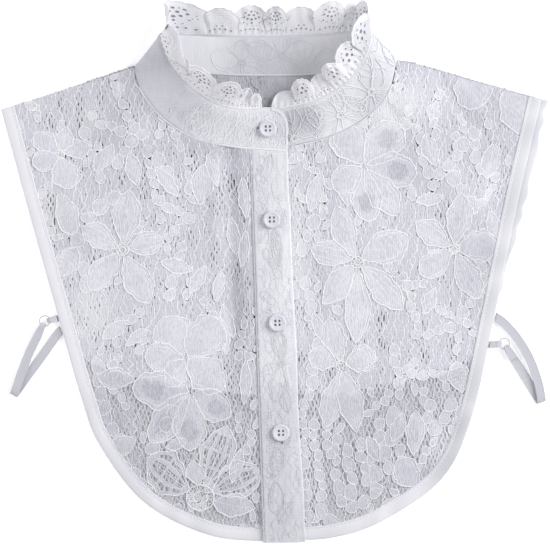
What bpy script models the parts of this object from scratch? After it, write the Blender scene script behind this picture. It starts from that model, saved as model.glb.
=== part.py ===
"""Detachable lace collar with a frilled stand, buttoned and laid flat with its front up.

+Z is up from the surface that it lies on, +Y runs from the hem to the neck and +X to the
right as seen from above. The origin is the middle of the outline, on that surface. Tables
and sizes are in millimetres, and MM turns them into Blender's metres.
"""

import math
from collections import namedtuple

import bmesh
import bpy
import numpy as np
from mathutils import Matrix, Vector

MM = 0.001

# Cloth thicknesses and seam gaps.
LACE_WALL = 1.2
STAND_WALL = 1.6
PLACKET_WALL = 1.6
BINDING_WALL = 1.5
FRILL_WALL = 1.0
SEAM = 0.3
NECK_SEAM = 0.5
LAY_GAP = 0.3

# Binding, frill, tape, ring and buttons.
BINDING_WIDTH = 8.2
FRILL_HEIGHT = 19.0
SCALLOPS = 17
SCALLOP_DEPTH = 4.0
FRILL_WAVE = 3.4
TAPE_WALL = 0.8
RING_RADIUS = 3.6
RING_WIRE = 0.5
BUTTON_RADIUS = 5.9
BUTTON_HEIGHT = 2.6

# The front lies on the back: its underside is this high over the back's binding.
STACK = BINDING_WALL + LAY_GAP

# The stand's outer face, from the end that buttons over, round the neck, to the end that
# lies under it: the seam with the body (base) and the edge that carries the frill (top).
# lean tips the frill away from the stand's plane, in degrees, towards its outer face.
Section = namedtuple("Section", "base_x base_y base_z top_x top_y top_z lean")
STAND = {
    "over_end": Section(10.2, 82.4, 6.1, 10.6, 110.7, 8.1, 18),
    "over_button": Section(-5.7, 83.6, 6.1, -4.7, 111.0, 8.3, 18),
    "left_front": Section(-27.5, 85.7, 6.4, -21.7, 110.8, 9.6, 20),
    "left_bend": Section(-52.6, 91.5, 8, -40.6, 115.6, 12.5, 26),
    "left_side": Section(-74.1, 105.2, 10.6, -57.4, 128.2, 16.5, 34),
    "left_cheek": Section(-87.4, 121.9, 12, -68.1, 141.2, 19, 38),
    "left_roll": Section(-92.0, 133.0, 10.8, -73.3, 152.7, 17.5, 30),
    "left_fold": Section(-92.6, 141.6, 5.6, -75.6, 161.9, 10, 12),
    "left_under": Section(-85.7, 140.9, 1.2, -70.8, 163.7, 3, -6),
    "left_back": Section(-67.7, 137.9, 0, -58.2, 162.5, 0, -12),
    "mid_left": Section(-40.3, 134.9, 0, -37.9, 161.8, 0, -12),
    "centre_back": Section(-2.2, 133.5, 0, -1.8, 161.0, 0, -12),
    "mid_right": Section(36.5, 134.0, 0, 33.6, 161.3, 0, -12),
    "right_back": Section(61.8, 138.0, 0, 51.7, 162.2, 0, -12),
    "right_under": Section(78.4, 142.7, 1.2, 63.7, 163.3, 3, -6),
    "right_fold": Section(84.7, 144.1, 5.6, 68.3, 162.1, 10, 12),
    "right_roll": Section(84.2, 135.6, 10.6, 67.5, 153.4, 17.5, 30),
    "right_cheek": Section(80.5, 123.2, 12, 63.4, 143.2, 18.5, 36),
    "right_side": Section(72.3, 110.8, 10.4, 54.7, 130.6, 16, 32),
    "right_bend": Section(56.1, 98.6, 7.8, 42.5, 121.8, 12, 26),
    "right_front": Section(34.5, 89.7, 5.4, 26.9, 114.9, 8.6, 18),
    "under_button": Section(3.1, 83.4, 3.9, 2.1, 110.4, 5.9, 4),
    "under_end": Section(-12.6, 83.0, 3.8, -13.2, 110.2, 5.7, 0),
}
STAND_ORDER = list(STAND)
END_CORNER = 8.5

# Finished edges, from the shoulder tip down the side and round the hem to the middle.
Edge = namedtuple("Edge", "x y")
FRONT_LEFT_EDGE = [
    Edge(-183.8, 113.8), Edge(-166.9, 46.9), Edge(-148.3, -24.1), Edge(-132.4, -83.5),
    Edge(-120.6, -115.6), Edge(-90.8, -154.9), Edge(-46.8, -177.8), Edge(-2.0, -183.2),
]
FRONT_RIGHT_EDGE = [
    Edge(183.1, 114.3), Edge(165.3, 42.2), Edge(148.6, -33.3), Edge(131.6, -102.8),
    Edge(110.9, -142.6), Edge(71.0, -169.8), Edge(36.5, -180.8), Edge(-5.0, -182.2),
]
BACK_LEFT_EDGE = [
    Edge(-183.2, 113.6), Edge(-166.3, 46.9), Edge(-147.8, -24.1), Edge(-142.1, -41.7),
    Edge(-129.9, -56.4), Edge(-105.1, -67.3), Edge(-56.3, -78.1), Edge(-1.4, -83.0),
]
BACK_RIGHT_EDGE = [
    Edge(187.5, 113.9), Edge(170.4, 42.1), Edge(148.9, -28.9), Edge(143.7, -45.4),
    Edge(131.0, -59.7), Edge(104.9, -70.2), Edge(53.7, -79.9), Edge(-1.4, -83.0),
]

# The front settles from the back onto the surface below these two levels of its edge.
SETTLE_FROM, SETTLE_TO = -74.0, -106.0
SETTLE_WIDTH = 14.0

# How far from the neck seam the rise towards the stand reaches, and how far the shoulder
# seam holds front and back apart at the neck.
NECK_REACH = 65.0
SHOULDER_SPREAD = 0.5

# The placket: its level, its width and the height of its face. Its left edge is straight,
# from the neck to the hem, and its top edge follows the stand.
PLACKET_LEFT_NECK = (-14.8, 84.3)
PLACKET_LEFT_HEM = (-10.0, -183.1)
Band = namedtuple("Band", "y width top")
PLACKET = [
    Band(82.0, 24.7, 6.1), Band(60.0, 25.0, 5.6), Band(30.0, 25.3, 5.3), Band(-32.4, 26.2, 5.2),
    Band(-95.9, 26.6, 5.2), Band(-156.0, 27.9, 5.2), Band(-176.0, 28.3, 3.4), Band(-183.2, 28.4, 3.4),
]
LAP_SHARE = 0.14

# Soft folds of the two fronts: a ridge from one end to the other, its half width and height.
Fold = namedtuple("Fold", "from_x from_y to_x to_y half height")
FOLDS = [
    Fold(-35.8, 74.6, -32.9, 8.5, 9, 2.2),
    Fold(-102.3, 105.7, -138.3, 42.3, 20, 2.6),
    Fold(-91.0, 63.5, -87.0, -58.6, 22, 1.8),
    Fold(93.7, 102.5, 131.7, 43.8, 18, 2.4),
    Fold(47.1, 69.2, 51.2, -50.8, 20, 1.6),
    Fold(96.2, 8.4, 82.0, -121.4, 22, 1.6),
    Fold(-63.6, -99.0, -42.3, -139.3, 20, 1.8),
]

# The side tapes run from the front's edge to a fold, back to the ring and round its wire.
# across is the direction of the tape's width in plan, in degrees.
Tape = namedtuple("Tape", "x y z across width")
TAPE_LEFT = [
    Tape(-145.6, -36.6, 1.3, 111, 6.0), Tape(-149.7, -41.5, 0.8, 135, 6.0),
    Tape(-158.9, -54.2, 0.5, 141, 6.0), Tape(-169.1, -67.6, 0.5, 143, 6.0),
    Tape(-176.7, -77.9, 0.5, 146, 6.0), Tape(-178.5, -80.3, 1.6, 148, 6.0),
    Tape(-177.2, -77.3, 3.0, 150, 6.0), Tape(-173.1, -65.8, 3.0, 152, 6.0),
    Tape(-167.3, -51.7, 3.0, 154, 6.0), Tape(-161.1, -39.4, 3.2, 154, 5.6),
    Tape(-158.2, -33.5, 3.7, 154, 4.0), Tape(-157.35, -31.8, 2.3, 154, 3.0),
    Tape(-158.2, -33.5, 0.9, 154, 4.0), Tape(-161.5, -40.2, 1.3, 154, 5.6),
    Tape(-166.3, -49.7, 1.75, 154, 5.8),
]
TAPE_RIGHT = [
    Tape(149.5, -32.4, 1.7, 78, 6.0), Tape(156.4, -38.0, 2.2, 51, 6.0),
    Tape(164.8, -48.3, 2.5, 37, 6.0), Tape(172.4, -61.8, 2.5, 28, 6.0),
    Tape(177.6, -76.9, 2.5, 19, 6.0), Tape(179.6, -88.0, 2.5, 16, 6.0),
    Tape(179.7, -91.0, 1.5, 19, 6.0), Tape(178.2, -89.1, 0.5, 23, 6.0),
    Tape(172.9, -79.9, 0.5, 28, 6.0), Tape(165.1, -66.7, 0.5, 30, 6.0),
    Tape(159.0, -57.0, 0.6, 31, 5.2), Tape(157.1, -53.9, 0.9, 31, 4.0),
    Tape(156.1, -52.3, 2.3, 31, 3.0), Tape(157.1, -53.9, 3.7, 31, 4.0),
    Tape(159.0, -57.0, 3.7, 31, 5.2), Tape(161.8, -61.6, 3.4, 31, 5.8),
]
RINGS = {"left": (-156.6, -30.3, 2.3), "right": (155.2, -50.8, 2.3)}
TAB_LEFT = [
    Tape(-147.5, -28.6, 0.55, 105, 4.4), Tape(-150.5, -29.2, 0.6, 101, 4.4),
    Tape(-153.0, -29.8, 0.95, 101, 3.6), Tape(-154.9, -30.1, 2.3, 101, 3.0),
    Tape(-153.0, -29.8, 3.65, 101, 3.6), Tape(-150.5, -29.2, 3.4, 101, 4.4),
    Tape(-148.3, -28.8, 3.0, 105, 4.4),
]
TAB_RIGHT = [
    Tape(144.9, -51.2, 0.55, 76, 4.4), Tape(149.0, -51.1, 0.6, 84, 4.4),
    Tape(151.6, -50.9, 0.95, 88, 3.6), Tape(153.5, -50.8, 2.3, 88, 3.0),
    Tape(151.6, -50.9, 3.65, 88, 3.6), Tape(149.0, -51.1, 3.6, 84, 4.4),
    Tape(145.2, -51.2, 3.4, 76, 4.4),
]

# Button centres, from the stand down the placket.
BUTTONS = [(-2.9, 97.6), (-1.2, 35.9), (1.4, -34.1), (2.6, -108.6)]


# --- Curves and walls ---------------------------------------------------------------------


def smooth(t):
    """0 below 0, 1 above 1, and level at both ends."""
    t = np.clip(t, 0.0, 1.0)
    return t * t * (3 - 2 * t)


def curve_at(points, where):
    """A smooth curve through the points, read at these numbers of points along it."""
    points = np.asarray(points, float)
    padded = np.vstack([2 * points[0] - points[1], points, 2 * points[-1] - points[-2]])
    where = np.clip(np.asarray(where, float), 0, len(points) - 1)
    first = np.minimum(where.astype(int), len(points) - 2)
    t = (where - first)[:, None]
    a, b, c, d = (padded[first + i] for i in range(4))
    return 0.5 * (
        2 * b + (c - a) * t + (2 * a - 5 * b + 4 * c - d) * t**2 + (3 * b - a - 3 * c + d) * t**3
    )


def by_length(line, shares):
    """Points at these shares of a polyline's length in plan."""
    steps = np.linalg.norm(np.diff(line[:, :2], axis=0), axis=1)
    along = np.concatenate([[0.0], np.cumsum(steps)])
    at = np.asarray(shares) * along[-1]
    return np.stack([np.interp(at, along, line[:, k]) for k in range(line.shape[1])], axis=1)


def fine(points):
    """The smooth curve through a table's points, with 24 steps to each of its spans."""
    return curve_at(points, np.linspace(0, len(points) - 1, 24 * (len(points) - 1) + 1))


def inside_of(line, distance, side):
    """The line moved towards the garment's middle; side is -1 for the left and 1 for the right."""
    along = np.gradient(line[:, :2], axis=0)
    along /= np.linalg.norm(along, axis=1)[:, None]
    inward = np.stack([-along[:, 1], along[:, 0]], axis=1) * (-side)
    return line[:, :2] + inward * distance


def material(name, colour, roughness, metallic=0.0):
    made = bpy.data.materials.new(name)
    made.use_nodes = True
    shader = made.node_tree.nodes["Principled BSDF"]
    shader.inputs["Base Color"].default_value = (*colour, 1.0)
    shader.inputs["Roughness"].default_value = roughness
    shader.inputs["Metallic"].default_value = metallic
    return made


def add_object(name, mesh, finish):
    mesh.materials.append(finish)
    obj = bpy.data.objects.new(name, mesh)
    parts.objects.link(obj)
    return obj


def move_to(obj, collection):
    """Take an object out of the collections that it is in and put it in this one."""
    for old_home in list(obj.users_collection):
        old_home.objects.unlink(obj)
    collection.objects.link(obj)


def cloth(name, rows, wall, finish, grow=-1.0):
    """A wall of cloth on a grid of points in millimetres, whose outer face is the grid."""
    build = bmesh.new()
    grid = [[build.verts.new(Vector(p) * MM) for p in row] for row in rows]
    for row, following in zip(grid, grid[1:]):
        for a, b, c, d in zip(row, row[1:], following[1:], following):
            build.faces.new((a, b, c, d))
    mesh = bpy.data.meshes.new(name)
    build.to_mesh(mesh)
    build.free()
    mesh.shade_smooth()
    obj = add_object(name, mesh, finish)
    thicken = obj.modifiers.new("wall", "SOLIDIFY")
    thicken.thickness = wall * MM
    thicken.offset = grow
    thicken.use_even_offset = True
    return obj


# --- The stand's two edges, which every neck seam follows ---------------------------------


def stand_edges(where):
    """The outer face's base and top edge, in three dimensions, at these section numbers."""
    base = curve_at([s[:3] for s in STAND.values()], where)
    top = curve_at([s[3:6] for s in STAND.values()], where)
    base[:, 2] = np.maximum(base[:, 2], 0.0)
    top[:, 2] = np.maximum(top[:, 2], 0.0)
    return base, top


def neck_line(first, last, late=0.0):
    """The base edge from one named section to another, as a fine polyline. late is the part of
    a section that it leaves out at either end that is a fold."""
    start, end = STAND_ORDER.index(first), STAND_ORDER.index(last)
    way = math.copysign(late, end - start)
    start += way * ("fold" in first)
    end -= way * ("fold" in last)
    return stand_edges(np.linspace(start, end, round(24 * abs(end - start)) + 1))[0]


def cut_at(line, x):
    """The part of a line up to this x, where the line runs towards greater x."""
    kept = line[line[:, 0] < x]
    level = [np.interp(x, line[:, 0], line[:, k]) for k in range(1, line.shape[1])]
    return np.vstack([kept, [x, *level]])


# --- Body panels ---------------------------------------------------------------------------


def fold_height(x, y):
    """Height that the soft folds add at a point of a front."""
    total = np.zeros_like(x)
    for fold in FOLDS:
        start = np.array([fold.from_x, fold.from_y])
        run = np.array([fold.to_x, fold.to_y]) - start
        along = ((x - start[0]) * run[0] + (y - start[1]) * run[1]) / (run @ run)
        held = np.clip(along, 0, 1)
        away = np.hypot(x - start[0] - held * run[0], y - start[1] - held * run[1])
        total += fold.height * np.exp(-((away / fold.half) ** 2))
    return total


def front_height(u, v, plan, neck_z, reach, edge_y, lap):
    """Height of a front's face. u runs from the shoulder seam to the placket, v from the
    binding to the neck, reach is the cloth's length between them and lap its rise at the
    placket."""
    settle = smooth((SETTLE_FROM - edge_y) / (SETTLE_FROM - SETTLE_TO))
    resting = STACK * (1 - settle)
    from_edge, from_neck = v * reach, (1 - v) * reach
    flat = LACE_WALL + resting + (STACK - resting) * smooth(from_edge / SETTLE_WIDTH)
    lapped = lap * smooth((u - 1 + LAP_SHARE) / LAP_SHARE) * smooth(from_edge / (2 * SETTLE_WIDTH))
    near_neck = 1 - smooth(from_neck / NECK_REACH)
    seams = smooth(from_edge / 20) * smooth(from_neck / 20) * smooth((1 - u) / 0.06) * smooth(u / 0.08)
    folds = fold_height(plan[..., 0], plan[..., 1]) * seams
    return flat + lapped * (1 - near_neck) + (neck_z - flat) * near_neck + folds


FRONT_U = np.array(
    [0, 0.02, 0.045, 0.08, 0.12, 0.16, 0.2, 0.24, 0.28, 0.32, 0.36, 0.4, 0.44, 0.48, 0.52]
    + [0.56, 0.6, 0.64, 0.68, 0.72, 0.76, 0.8, 0.84, 0.88, 0.92, 0.96, 1]
)
FRONT_V = np.array([0, 0.03, 0.07, 0.15, 0.26, 0.37, 0.48, 0.58, 0.68, 0.78, 0.87, 0.94, 1])
BACK_V = np.array([0, 0.12, 0.3, 0.5, 0.68, 0.82, 0.92, 1])


def build_front(word, side, edge_points, neck, lap, finish):
    """One front panel and its binding. The left one ends at the placket's left edge."""
    edge = fine(edge_points)
    seams = [inside_of(edge, width, side) for width in (0.0, BINDING_WIDTH, BINDING_WIDTH + SEAM)]
    if side < 0:
        seams = [cut_at(line, PLACKET_LEFT_HEM[0] - 2 * SEAM) for line in seams]
    outer, inner, seam_line = (by_length(line, FRONT_U) for line in seams)
    edge_y = outer[:, 1]
    neck_at = by_length(neck, FRONT_U)
    spread = SHOULDER_SPREAD * np.clip(1 - FRONT_U / 0.1, 0, 1)
    u, v = np.meshgrid(FRONT_U, FRONT_V, indexing="ij")
    plan = seam_line[:, None] * (1 - v[..., None]) + neck_at[:, None, :2] * v[..., None]
    reach = np.linalg.norm(neck_at[:, :2] - seam_line, axis=1)[:, None]
    neck_z = (neck_at[:, 2] + spread)[:, None]
    height = front_height(u, v, plan, neck_z, reach, edge_y[:, None], lap)
    rows = np.concatenate([plan, height[..., None]], axis=2)
    cloth(f"front_{word}", rows[::side], LACE_WALL, finish["lace"])

    resting = STACK * (1 - smooth((SETTLE_FROM - edge_y) / (SETTLE_FROM - SETTLE_TO)))
    face = (resting + BINDING_WALL)[:, None]
    strip = np.stack([np.hstack([outer, face]), np.hstack([inner, face])], axis=1)
    cloth(f"front_{word}_binding", strip[::side], BINDING_WALL, finish["binding"])


def build_back(finish):
    """The back panel in one piece, from shoulder seam to shoulder seam, and its binding."""
    left, right = fine(BACK_LEFT_EDGE), fine(BACK_RIGHT_EDGE)[::-1]
    edge = np.vstack([left, right[1:]])
    shares = np.concatenate([FRONT_U[:4], np.linspace(0.1, 0.9, 33), 1 - FRONT_U[3::-1]])
    seam_line = by_length(
        np.vstack([inside_of(left, BINDING_WIDTH + SEAM, -1), inside_of(right, BINDING_WIDTH + SEAM, -1)[1:]]),
        shares,
    )
    neck_at = by_length(neck_line("left_fold", "right_fold", 0.1), shares)
    spread = SHOULDER_SPREAD * np.clip(1 - np.minimum(shares, 1 - shares) / 0.06, 0, 1)
    neck_z = np.maximum(neck_at[:, 2] - spread, 0.0)
    reach = np.linalg.norm(neck_at[:, :2] - seam_line, axis=1)[:, None]
    v = np.broadcast_to(BACK_V, (len(shares), len(BACK_V)))
    plan = seam_line[:, None] * (1 - v[..., None]) + neck_at[:, None, :2] * v[..., None]
    height = neck_z[:, None] * (1 - smooth((1 - v) * reach / NECK_REACH))
    rows = np.concatenate([plan, height[..., None]], axis=2)
    cloth("back", rows, LACE_WALL, finish["lace"])

    outer = by_length(edge, shares)
    inner = by_length(
        np.vstack([inside_of(left, BINDING_WIDTH, -1), inside_of(right, BINDING_WIDTH, -1)[1:]]),
        shares,
    )
    level = np.zeros((len(shares), 1))
    strip = np.stack([np.hstack([outer, level]), np.hstack([inner, level])], axis=1)
    cloth("back_binding", strip, BINDING_WALL, finish["binding"])


def placket_left(y):
    """The placket's left edge at this level."""
    (neck_x, neck_y), (hem_x, hem_y) = PLACKET_LEFT_NECK, PLACKET_LEFT_HEM
    return neck_x + (hem_x - neck_x) * (neck_y - y) / (neck_y - hem_y)


def build_placket(finish):
    """The buttoned band down the middle, over the right front's edge."""
    neck = neck_line("left_front", "over_end")
    face = []
    for y, width, top in curve_at(PLACKET, np.linspace(0, len(PLACKET) - 1, 22)):
        xs = placket_left(y) + width * np.array([0, 0.5, 1])
        ys = y + (np.interp(xs, neck[:, 0], neck[:, 1]) - SEAM - y) * (y > 81.9)
        face.append([(at_x, at_y, top) for at_x, at_y in zip(xs, ys)])
    cloth("placket", face[::-1], PLACKET_WALL, finish["lace"])


# --- Stand and frill -----------------------------------------------------------------------


def build_stand(finish):
    """The stand in one strip, its over end with a rounded corner."""
    corner = np.array([0.0, 0.05, 0.14, 0.3, 0.53])
    where = np.concatenate([corner, np.linspace(1, len(STAND) - 1, 3 * (len(STAND) - 2) + 1)])
    base, top = stand_edges(where)
    height = np.linalg.norm(top - base, axis=1)
    from_end = np.concatenate([[0.0], np.cumsum(np.linalg.norm(np.diff(top, axis=0), axis=1))])
    into = np.clip(END_CORNER - from_end, 0, END_CORNER)
    cut = END_CORNER - np.sqrt(END_CORNER**2 - into**2)
    up = (top - base) / height[:, None]
    reach = height - cut
    rows = [base + up * NECK_SEAM, base + up * (reach / 2)[:, None], base + up * reach[:, None]]
    cloth("stand", np.stack(rows, axis=1), STAND_WALL, finish["lace"])


def frill_frames(where):
    """Base point, direction away from the stand and outer normal along the frill."""
    base, top = stand_edges(where)
    up = top - base
    up /= np.linalg.norm(up, axis=1)[:, None]
    along = np.gradient(top, axis=0)
    outward = np.cross(up, along)
    outward /= np.linalg.norm(outward, axis=1)[:, None]
    return top - outward * (STAND_WALL / 2), up, outward


def build_frill(finish):
    """The gathered lace edging: one wave and one scallop to each repeat."""
    steps = 8 * SCALLOPS
    turn = np.linspace(0, 1, steps + 1)
    where = 1.1 + turn * (len(STAND) - 3.2)
    start, up, outward = frill_frames(where)
    lean = np.radians(curve_at([[s.lean] for s in STAND.values()], where)[:, 0])
    wave = FRILL_WAVE * np.sin(2 * math.pi * SCALLOPS * turn)
    lobe = np.abs(np.sin(math.pi * SCALLOPS * turn))
    reach = FRILL_HEIGHT - SCALLOP_DEPTH * (1 - lobe)
    rows = []
    for share in (0.0, 0.5, 1.0):
        out = SEAM + 0.3 + reach * share
        away = np.cos(lean) * out
        aside = np.sin(lean) * out + wave * share
        rows.append(start + up * away[:, None] + outward * aside[:, None])
    cloth("frill", np.stack(rows, axis=1), FRILL_WALL, finish["trim"], grow=0.0)


# --- Buttons, tapes and rings --------------------------------------------------------------


def turned(name, profile, steps):
    """A closed profile of (radius, height) turned about Z with a Screw modifier."""
    mesh = bpy.data.meshes.new(name)
    points = [(r * MM, 0, h * MM) for r, h in profile]
    mesh.from_pydata(points, [(i, i + 1) for i in range(len(points) - 1)], [])
    obj = bpy.data.objects.new(name, mesh)
    screw = obj.modifiers.new("turn", "SCREW")
    screw.steps = screw.render_steps = steps
    screw.use_merge_vertices = True
    screw.merge_threshold = 0.00001
    return obj


def build_buttons(finish):
    """Four-hole shirt buttons with a raised rim, each sewn flat."""
    rim, floor = BUTTON_HEIGHT, BUTTON_HEIGHT - 0.8
    profile = [
        (0, floor), (3.5, floor), (4.1, rim), (5.3, rim), (BUTTON_RADIUS, rim - 0.7),
        (BUTTON_RADIUS - 0.5, 0.3), (BUTTON_RADIUS - 1.2, 0), (0, 0),
    ]
    blank = turned("button_blank", profile, 20)
    cutters.objects.link(blank)
    blank.hide_render = True
    blank.display_type = "WIRE"
    for dx, dy in ((1, 1), (-1, 1), (-1, -1), (1, -1)):
        bpy.ops.mesh.primitive_cylinder_add(
            vertices=8, radius=0.7 * MM, depth=12 * MM, location=(1.15 * dx * MM, 1.15 * dy * MM, 0)
        )
        drill = bpy.context.object
        move_to(drill, cutters)
        drill.name = "thread_hole_cutter"
        drill.hide_render = True
        drill.display_type = "WIRE"
        hole = blank.modifiers.new("hole", "BOOLEAN")
        hole.operation = "DIFFERENCE"
        hole.object = drill
    bpy.context.view_layer.update()
    evaluated = blank.evaluated_get(bpy.context.evaluated_depsgraph_get())
    mesh = bpy.data.meshes.new_from_object(evaluated)
    mesh.materials.clear()
    mesh.materials.append(finish["button"])
    levels = [(band.y, band.top) for band in PLACKET][::-1]
    over = STAND["over_button"]
    stand_tilt = math.atan2(over.top_z - over.base_z, over.top_y - over.base_y)
    for number, (x, y) in enumerate(BUTTONS, 1):
        obj = bpy.data.objects.new(f"button_{number}", mesh)
        parts.objects.link(obj)
        if y > PLACKET_LEFT_NECK[1]:
            z = over.base_z + math.tan(stand_tilt) * (y - over.base_y)
            obj.rotation_euler.x = stand_tilt
        else:
            z = np.interp(y, [level[0] for level in levels], [level[1] for level in levels])
        obj.location = Vector((x, y, z + LAY_GAP)) * MM


def build_tape(name, stations, finish):
    """A flat tape along its stations, its wall centred on them."""
    edges = []
    for x, y, z, across, width in curve_at(stations, np.arange(3 * len(stations) - 2) / 3):
        half = np.array([math.cos(math.radians(across)), math.sin(math.radians(across)), 0]) * width / 2
        centre = np.array([x, y, z])
        edges.append([centre - half, centre + half])
    cloth(name, edges, TAPE_WALL, finish, grow=0.0)


def build_ring(name, place, finish):
    bpy.ops.mesh.primitive_torus_add(
        major_radius=RING_RADIUS * MM, minor_radius=RING_WIRE * MM, major_segments=20, minor_segments=8,
        location=Vector(place) * MM,
    )
    obj = bpy.context.object
    move_to(obj, parts)
    obj.name = name
    obj.data.name = name
    obj.data.shade_smooth()
    obj.data.materials.append(finish)


# --- The collar ----------------------------------------------------------------------------

for old in list(bpy.data.objects):
    bpy.data.objects.remove(old)
parts = bpy.data.collections.new("detachable_collar")
cutters = bpy.data.collections.new("cutters")
bpy.context.scene.collection.children.link(parts)
bpy.context.scene.collection.children.link(cutters)

FINISH = {
    "lace": material("white_lace", (0.80, 0.80, 0.83), 0.85),
    "binding": material("white_cotton", (0.84, 0.84, 0.87), 0.8),
    "trim": material("white_edging", (0.84, 0.84, 0.86), 0.85),
    "button": material("white_resin", (0.85, 0.85, 0.88), 0.35),
    "tape": material("white_elastic", (0.72, 0.72, 0.75), 0.7),
    "ring": material("clear_nylon", (0.80, 0.80, 0.82), 0.4),
}

build_back(FINISH)
left_neck = neck_line("left_fold", "over_button", 0.25)
left_neck = cut_at(left_neck, PLACKET_LEFT_NECK[0] - SEAM)
build_front("left", -1, FRONT_LEFT_EDGE, left_neck, 2.0, FINISH)
build_front("right", 1, FRONT_RIGHT_EDGE, neck_line("right_fold", "under_end", 0.25), 0.0, FINISH)
build_placket(FINISH)
build_stand(FINISH)
build_frill(FINISH)
build_buttons(FINISH)
build_tape("tape_left", TAPE_LEFT, FINISH["tape"])
build_tape("tape_right", TAPE_RIGHT, FINISH["tape"])
build_tape("tab_left", TAB_LEFT, FINISH["tape"])
build_tape("tab_right", TAB_RIGHT, FINISH["tape"])
for side_word, place in RINGS.items():
    build_ring(f"ring_{side_word}", place, FINISH["ring"])
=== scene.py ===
"""A detachable white lace collar, laid flat with its front up and seen from straight above."""

import math
from collections import namedtuple

import bmesh
import bpy
import numpy as np
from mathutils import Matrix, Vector
from mathutils.bvhtree import BVHTree


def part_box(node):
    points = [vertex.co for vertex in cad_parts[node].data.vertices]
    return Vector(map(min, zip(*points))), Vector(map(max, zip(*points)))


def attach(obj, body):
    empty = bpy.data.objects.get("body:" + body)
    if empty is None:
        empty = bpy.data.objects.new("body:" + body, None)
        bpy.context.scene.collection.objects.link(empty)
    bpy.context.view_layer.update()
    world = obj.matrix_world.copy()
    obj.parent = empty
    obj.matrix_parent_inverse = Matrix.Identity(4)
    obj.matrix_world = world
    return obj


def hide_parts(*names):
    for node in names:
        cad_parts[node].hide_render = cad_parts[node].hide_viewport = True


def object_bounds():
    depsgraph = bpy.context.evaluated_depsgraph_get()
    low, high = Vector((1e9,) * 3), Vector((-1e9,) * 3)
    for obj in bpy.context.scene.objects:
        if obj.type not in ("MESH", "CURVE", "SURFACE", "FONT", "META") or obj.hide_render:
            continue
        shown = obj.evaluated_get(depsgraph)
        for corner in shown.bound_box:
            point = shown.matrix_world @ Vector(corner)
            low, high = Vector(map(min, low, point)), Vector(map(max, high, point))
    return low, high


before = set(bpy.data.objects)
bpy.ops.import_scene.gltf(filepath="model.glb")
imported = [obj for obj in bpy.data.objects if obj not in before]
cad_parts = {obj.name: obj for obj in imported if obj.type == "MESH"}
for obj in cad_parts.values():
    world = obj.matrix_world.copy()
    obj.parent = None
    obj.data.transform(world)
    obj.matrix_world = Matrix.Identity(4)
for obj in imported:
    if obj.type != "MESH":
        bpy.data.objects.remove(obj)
solid_low, solid_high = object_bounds()
MM = 0.001


# --- Lace cloth ----------------------------------------------------------------------------
# Corded raschel lace in cotton and polyester: a ground of wavy warp strands with long slits
# between them, dense petals and leaves knitted over it, and a raised cord round each motif.


def linear(code):
    """An sRGB hex colour as the linear RGBA that shaders take."""
    srgb = [int(code[i : i + 2], 16) / 255 for i in (1, 3, 5)]
    return (*[c / 12.92 if c <= 0.04045 else ((c + 0.055) / 1.055) ** 2.4 for c in srgb], 1.0)


def new_material(name):
    """An empty material, its node tree and its shader."""
    made = bpy.data.materials.new(name)
    made.use_nodes = True
    return made, made.node_tree, made.node_tree.nodes["Principled BSDF"]


def put(tree, node, **inputs):
    """Set or link inputs: i0, i1 and so on by number, others by name, underscores for spaces."""
    for key, value in inputs.items():
        number = key[1:] if key[0] == "i" and key[1:].isdigit() else None
        socket = node.inputs[int(number)] if number else node.inputs[key.replace("_", " ")]
        if isinstance(value, bpy.types.NodeSocket):
            tree.links.new(value, socket)
        else:
            socket.default_value = value


def add(tree, kind, settings=None, **inputs):
    """Add one node with its settings and its inputs."""
    made = tree.nodes.new(kind)
    for key, value in (settings or {}).items():
        setattr(made, key, value)
    put(tree, made, **inputs)
    return made


def maths(tree, operation, *values, clamp=False):
    """What one maths node makes of its values."""
    inputs = {f"i{place}": value for place, value in enumerate(values)}
    return add(tree, "ShaderNodeMath", {"operation": operation, "use_clamp": clamp}, **inputs).outputs[0]


def mixed(tree, share, first, second, way="MIX"):
    """Two colours mixed, or multiplied, by this share. Either may be a hex code."""
    first, second = (linear(c) if isinstance(c, str) else c for c in (first, second))
    settings = {"data_type": "RGBA", "blend_type": way}
    return add(tree, "ShaderNodeMix", settings, i0=share, i6=first, i7=second).outputs[2]


# The wave texture's period at a scale of 1.
WAVE_PERIOD = 0.31416


def ribs(tree, coordinate, axis, period, detail):
    """A wave of this period in metres across one axis, bent a little by noise."""
    return add(
        tree, "ShaderNodeTexWave", {"bands_direction": axis, "wave_profile": "SIN"},
        Vector=coordinate, Scale=WAVE_PERIOD / period, Distortion=detail, Detail=1.0, Detail_Scale=0.4,
    ).outputs["Fac"]


def streaks(tree, coordinate, wide, long):
    """Noise drawn out up the cloth: streaks this wide and long in metres."""
    scaled = add(
        tree, "ShaderNodeMapping", Vector=coordinate, Scale=(1 / wide, 1 / long, 1 / long)
    ).outputs["Vector"]
    return add(
        tree, "ShaderNodeTexNoise", Vector=scaled, Scale=1.0, Detail=2.0, Roughness=0.6
    ).outputs["Fac"]


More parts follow.
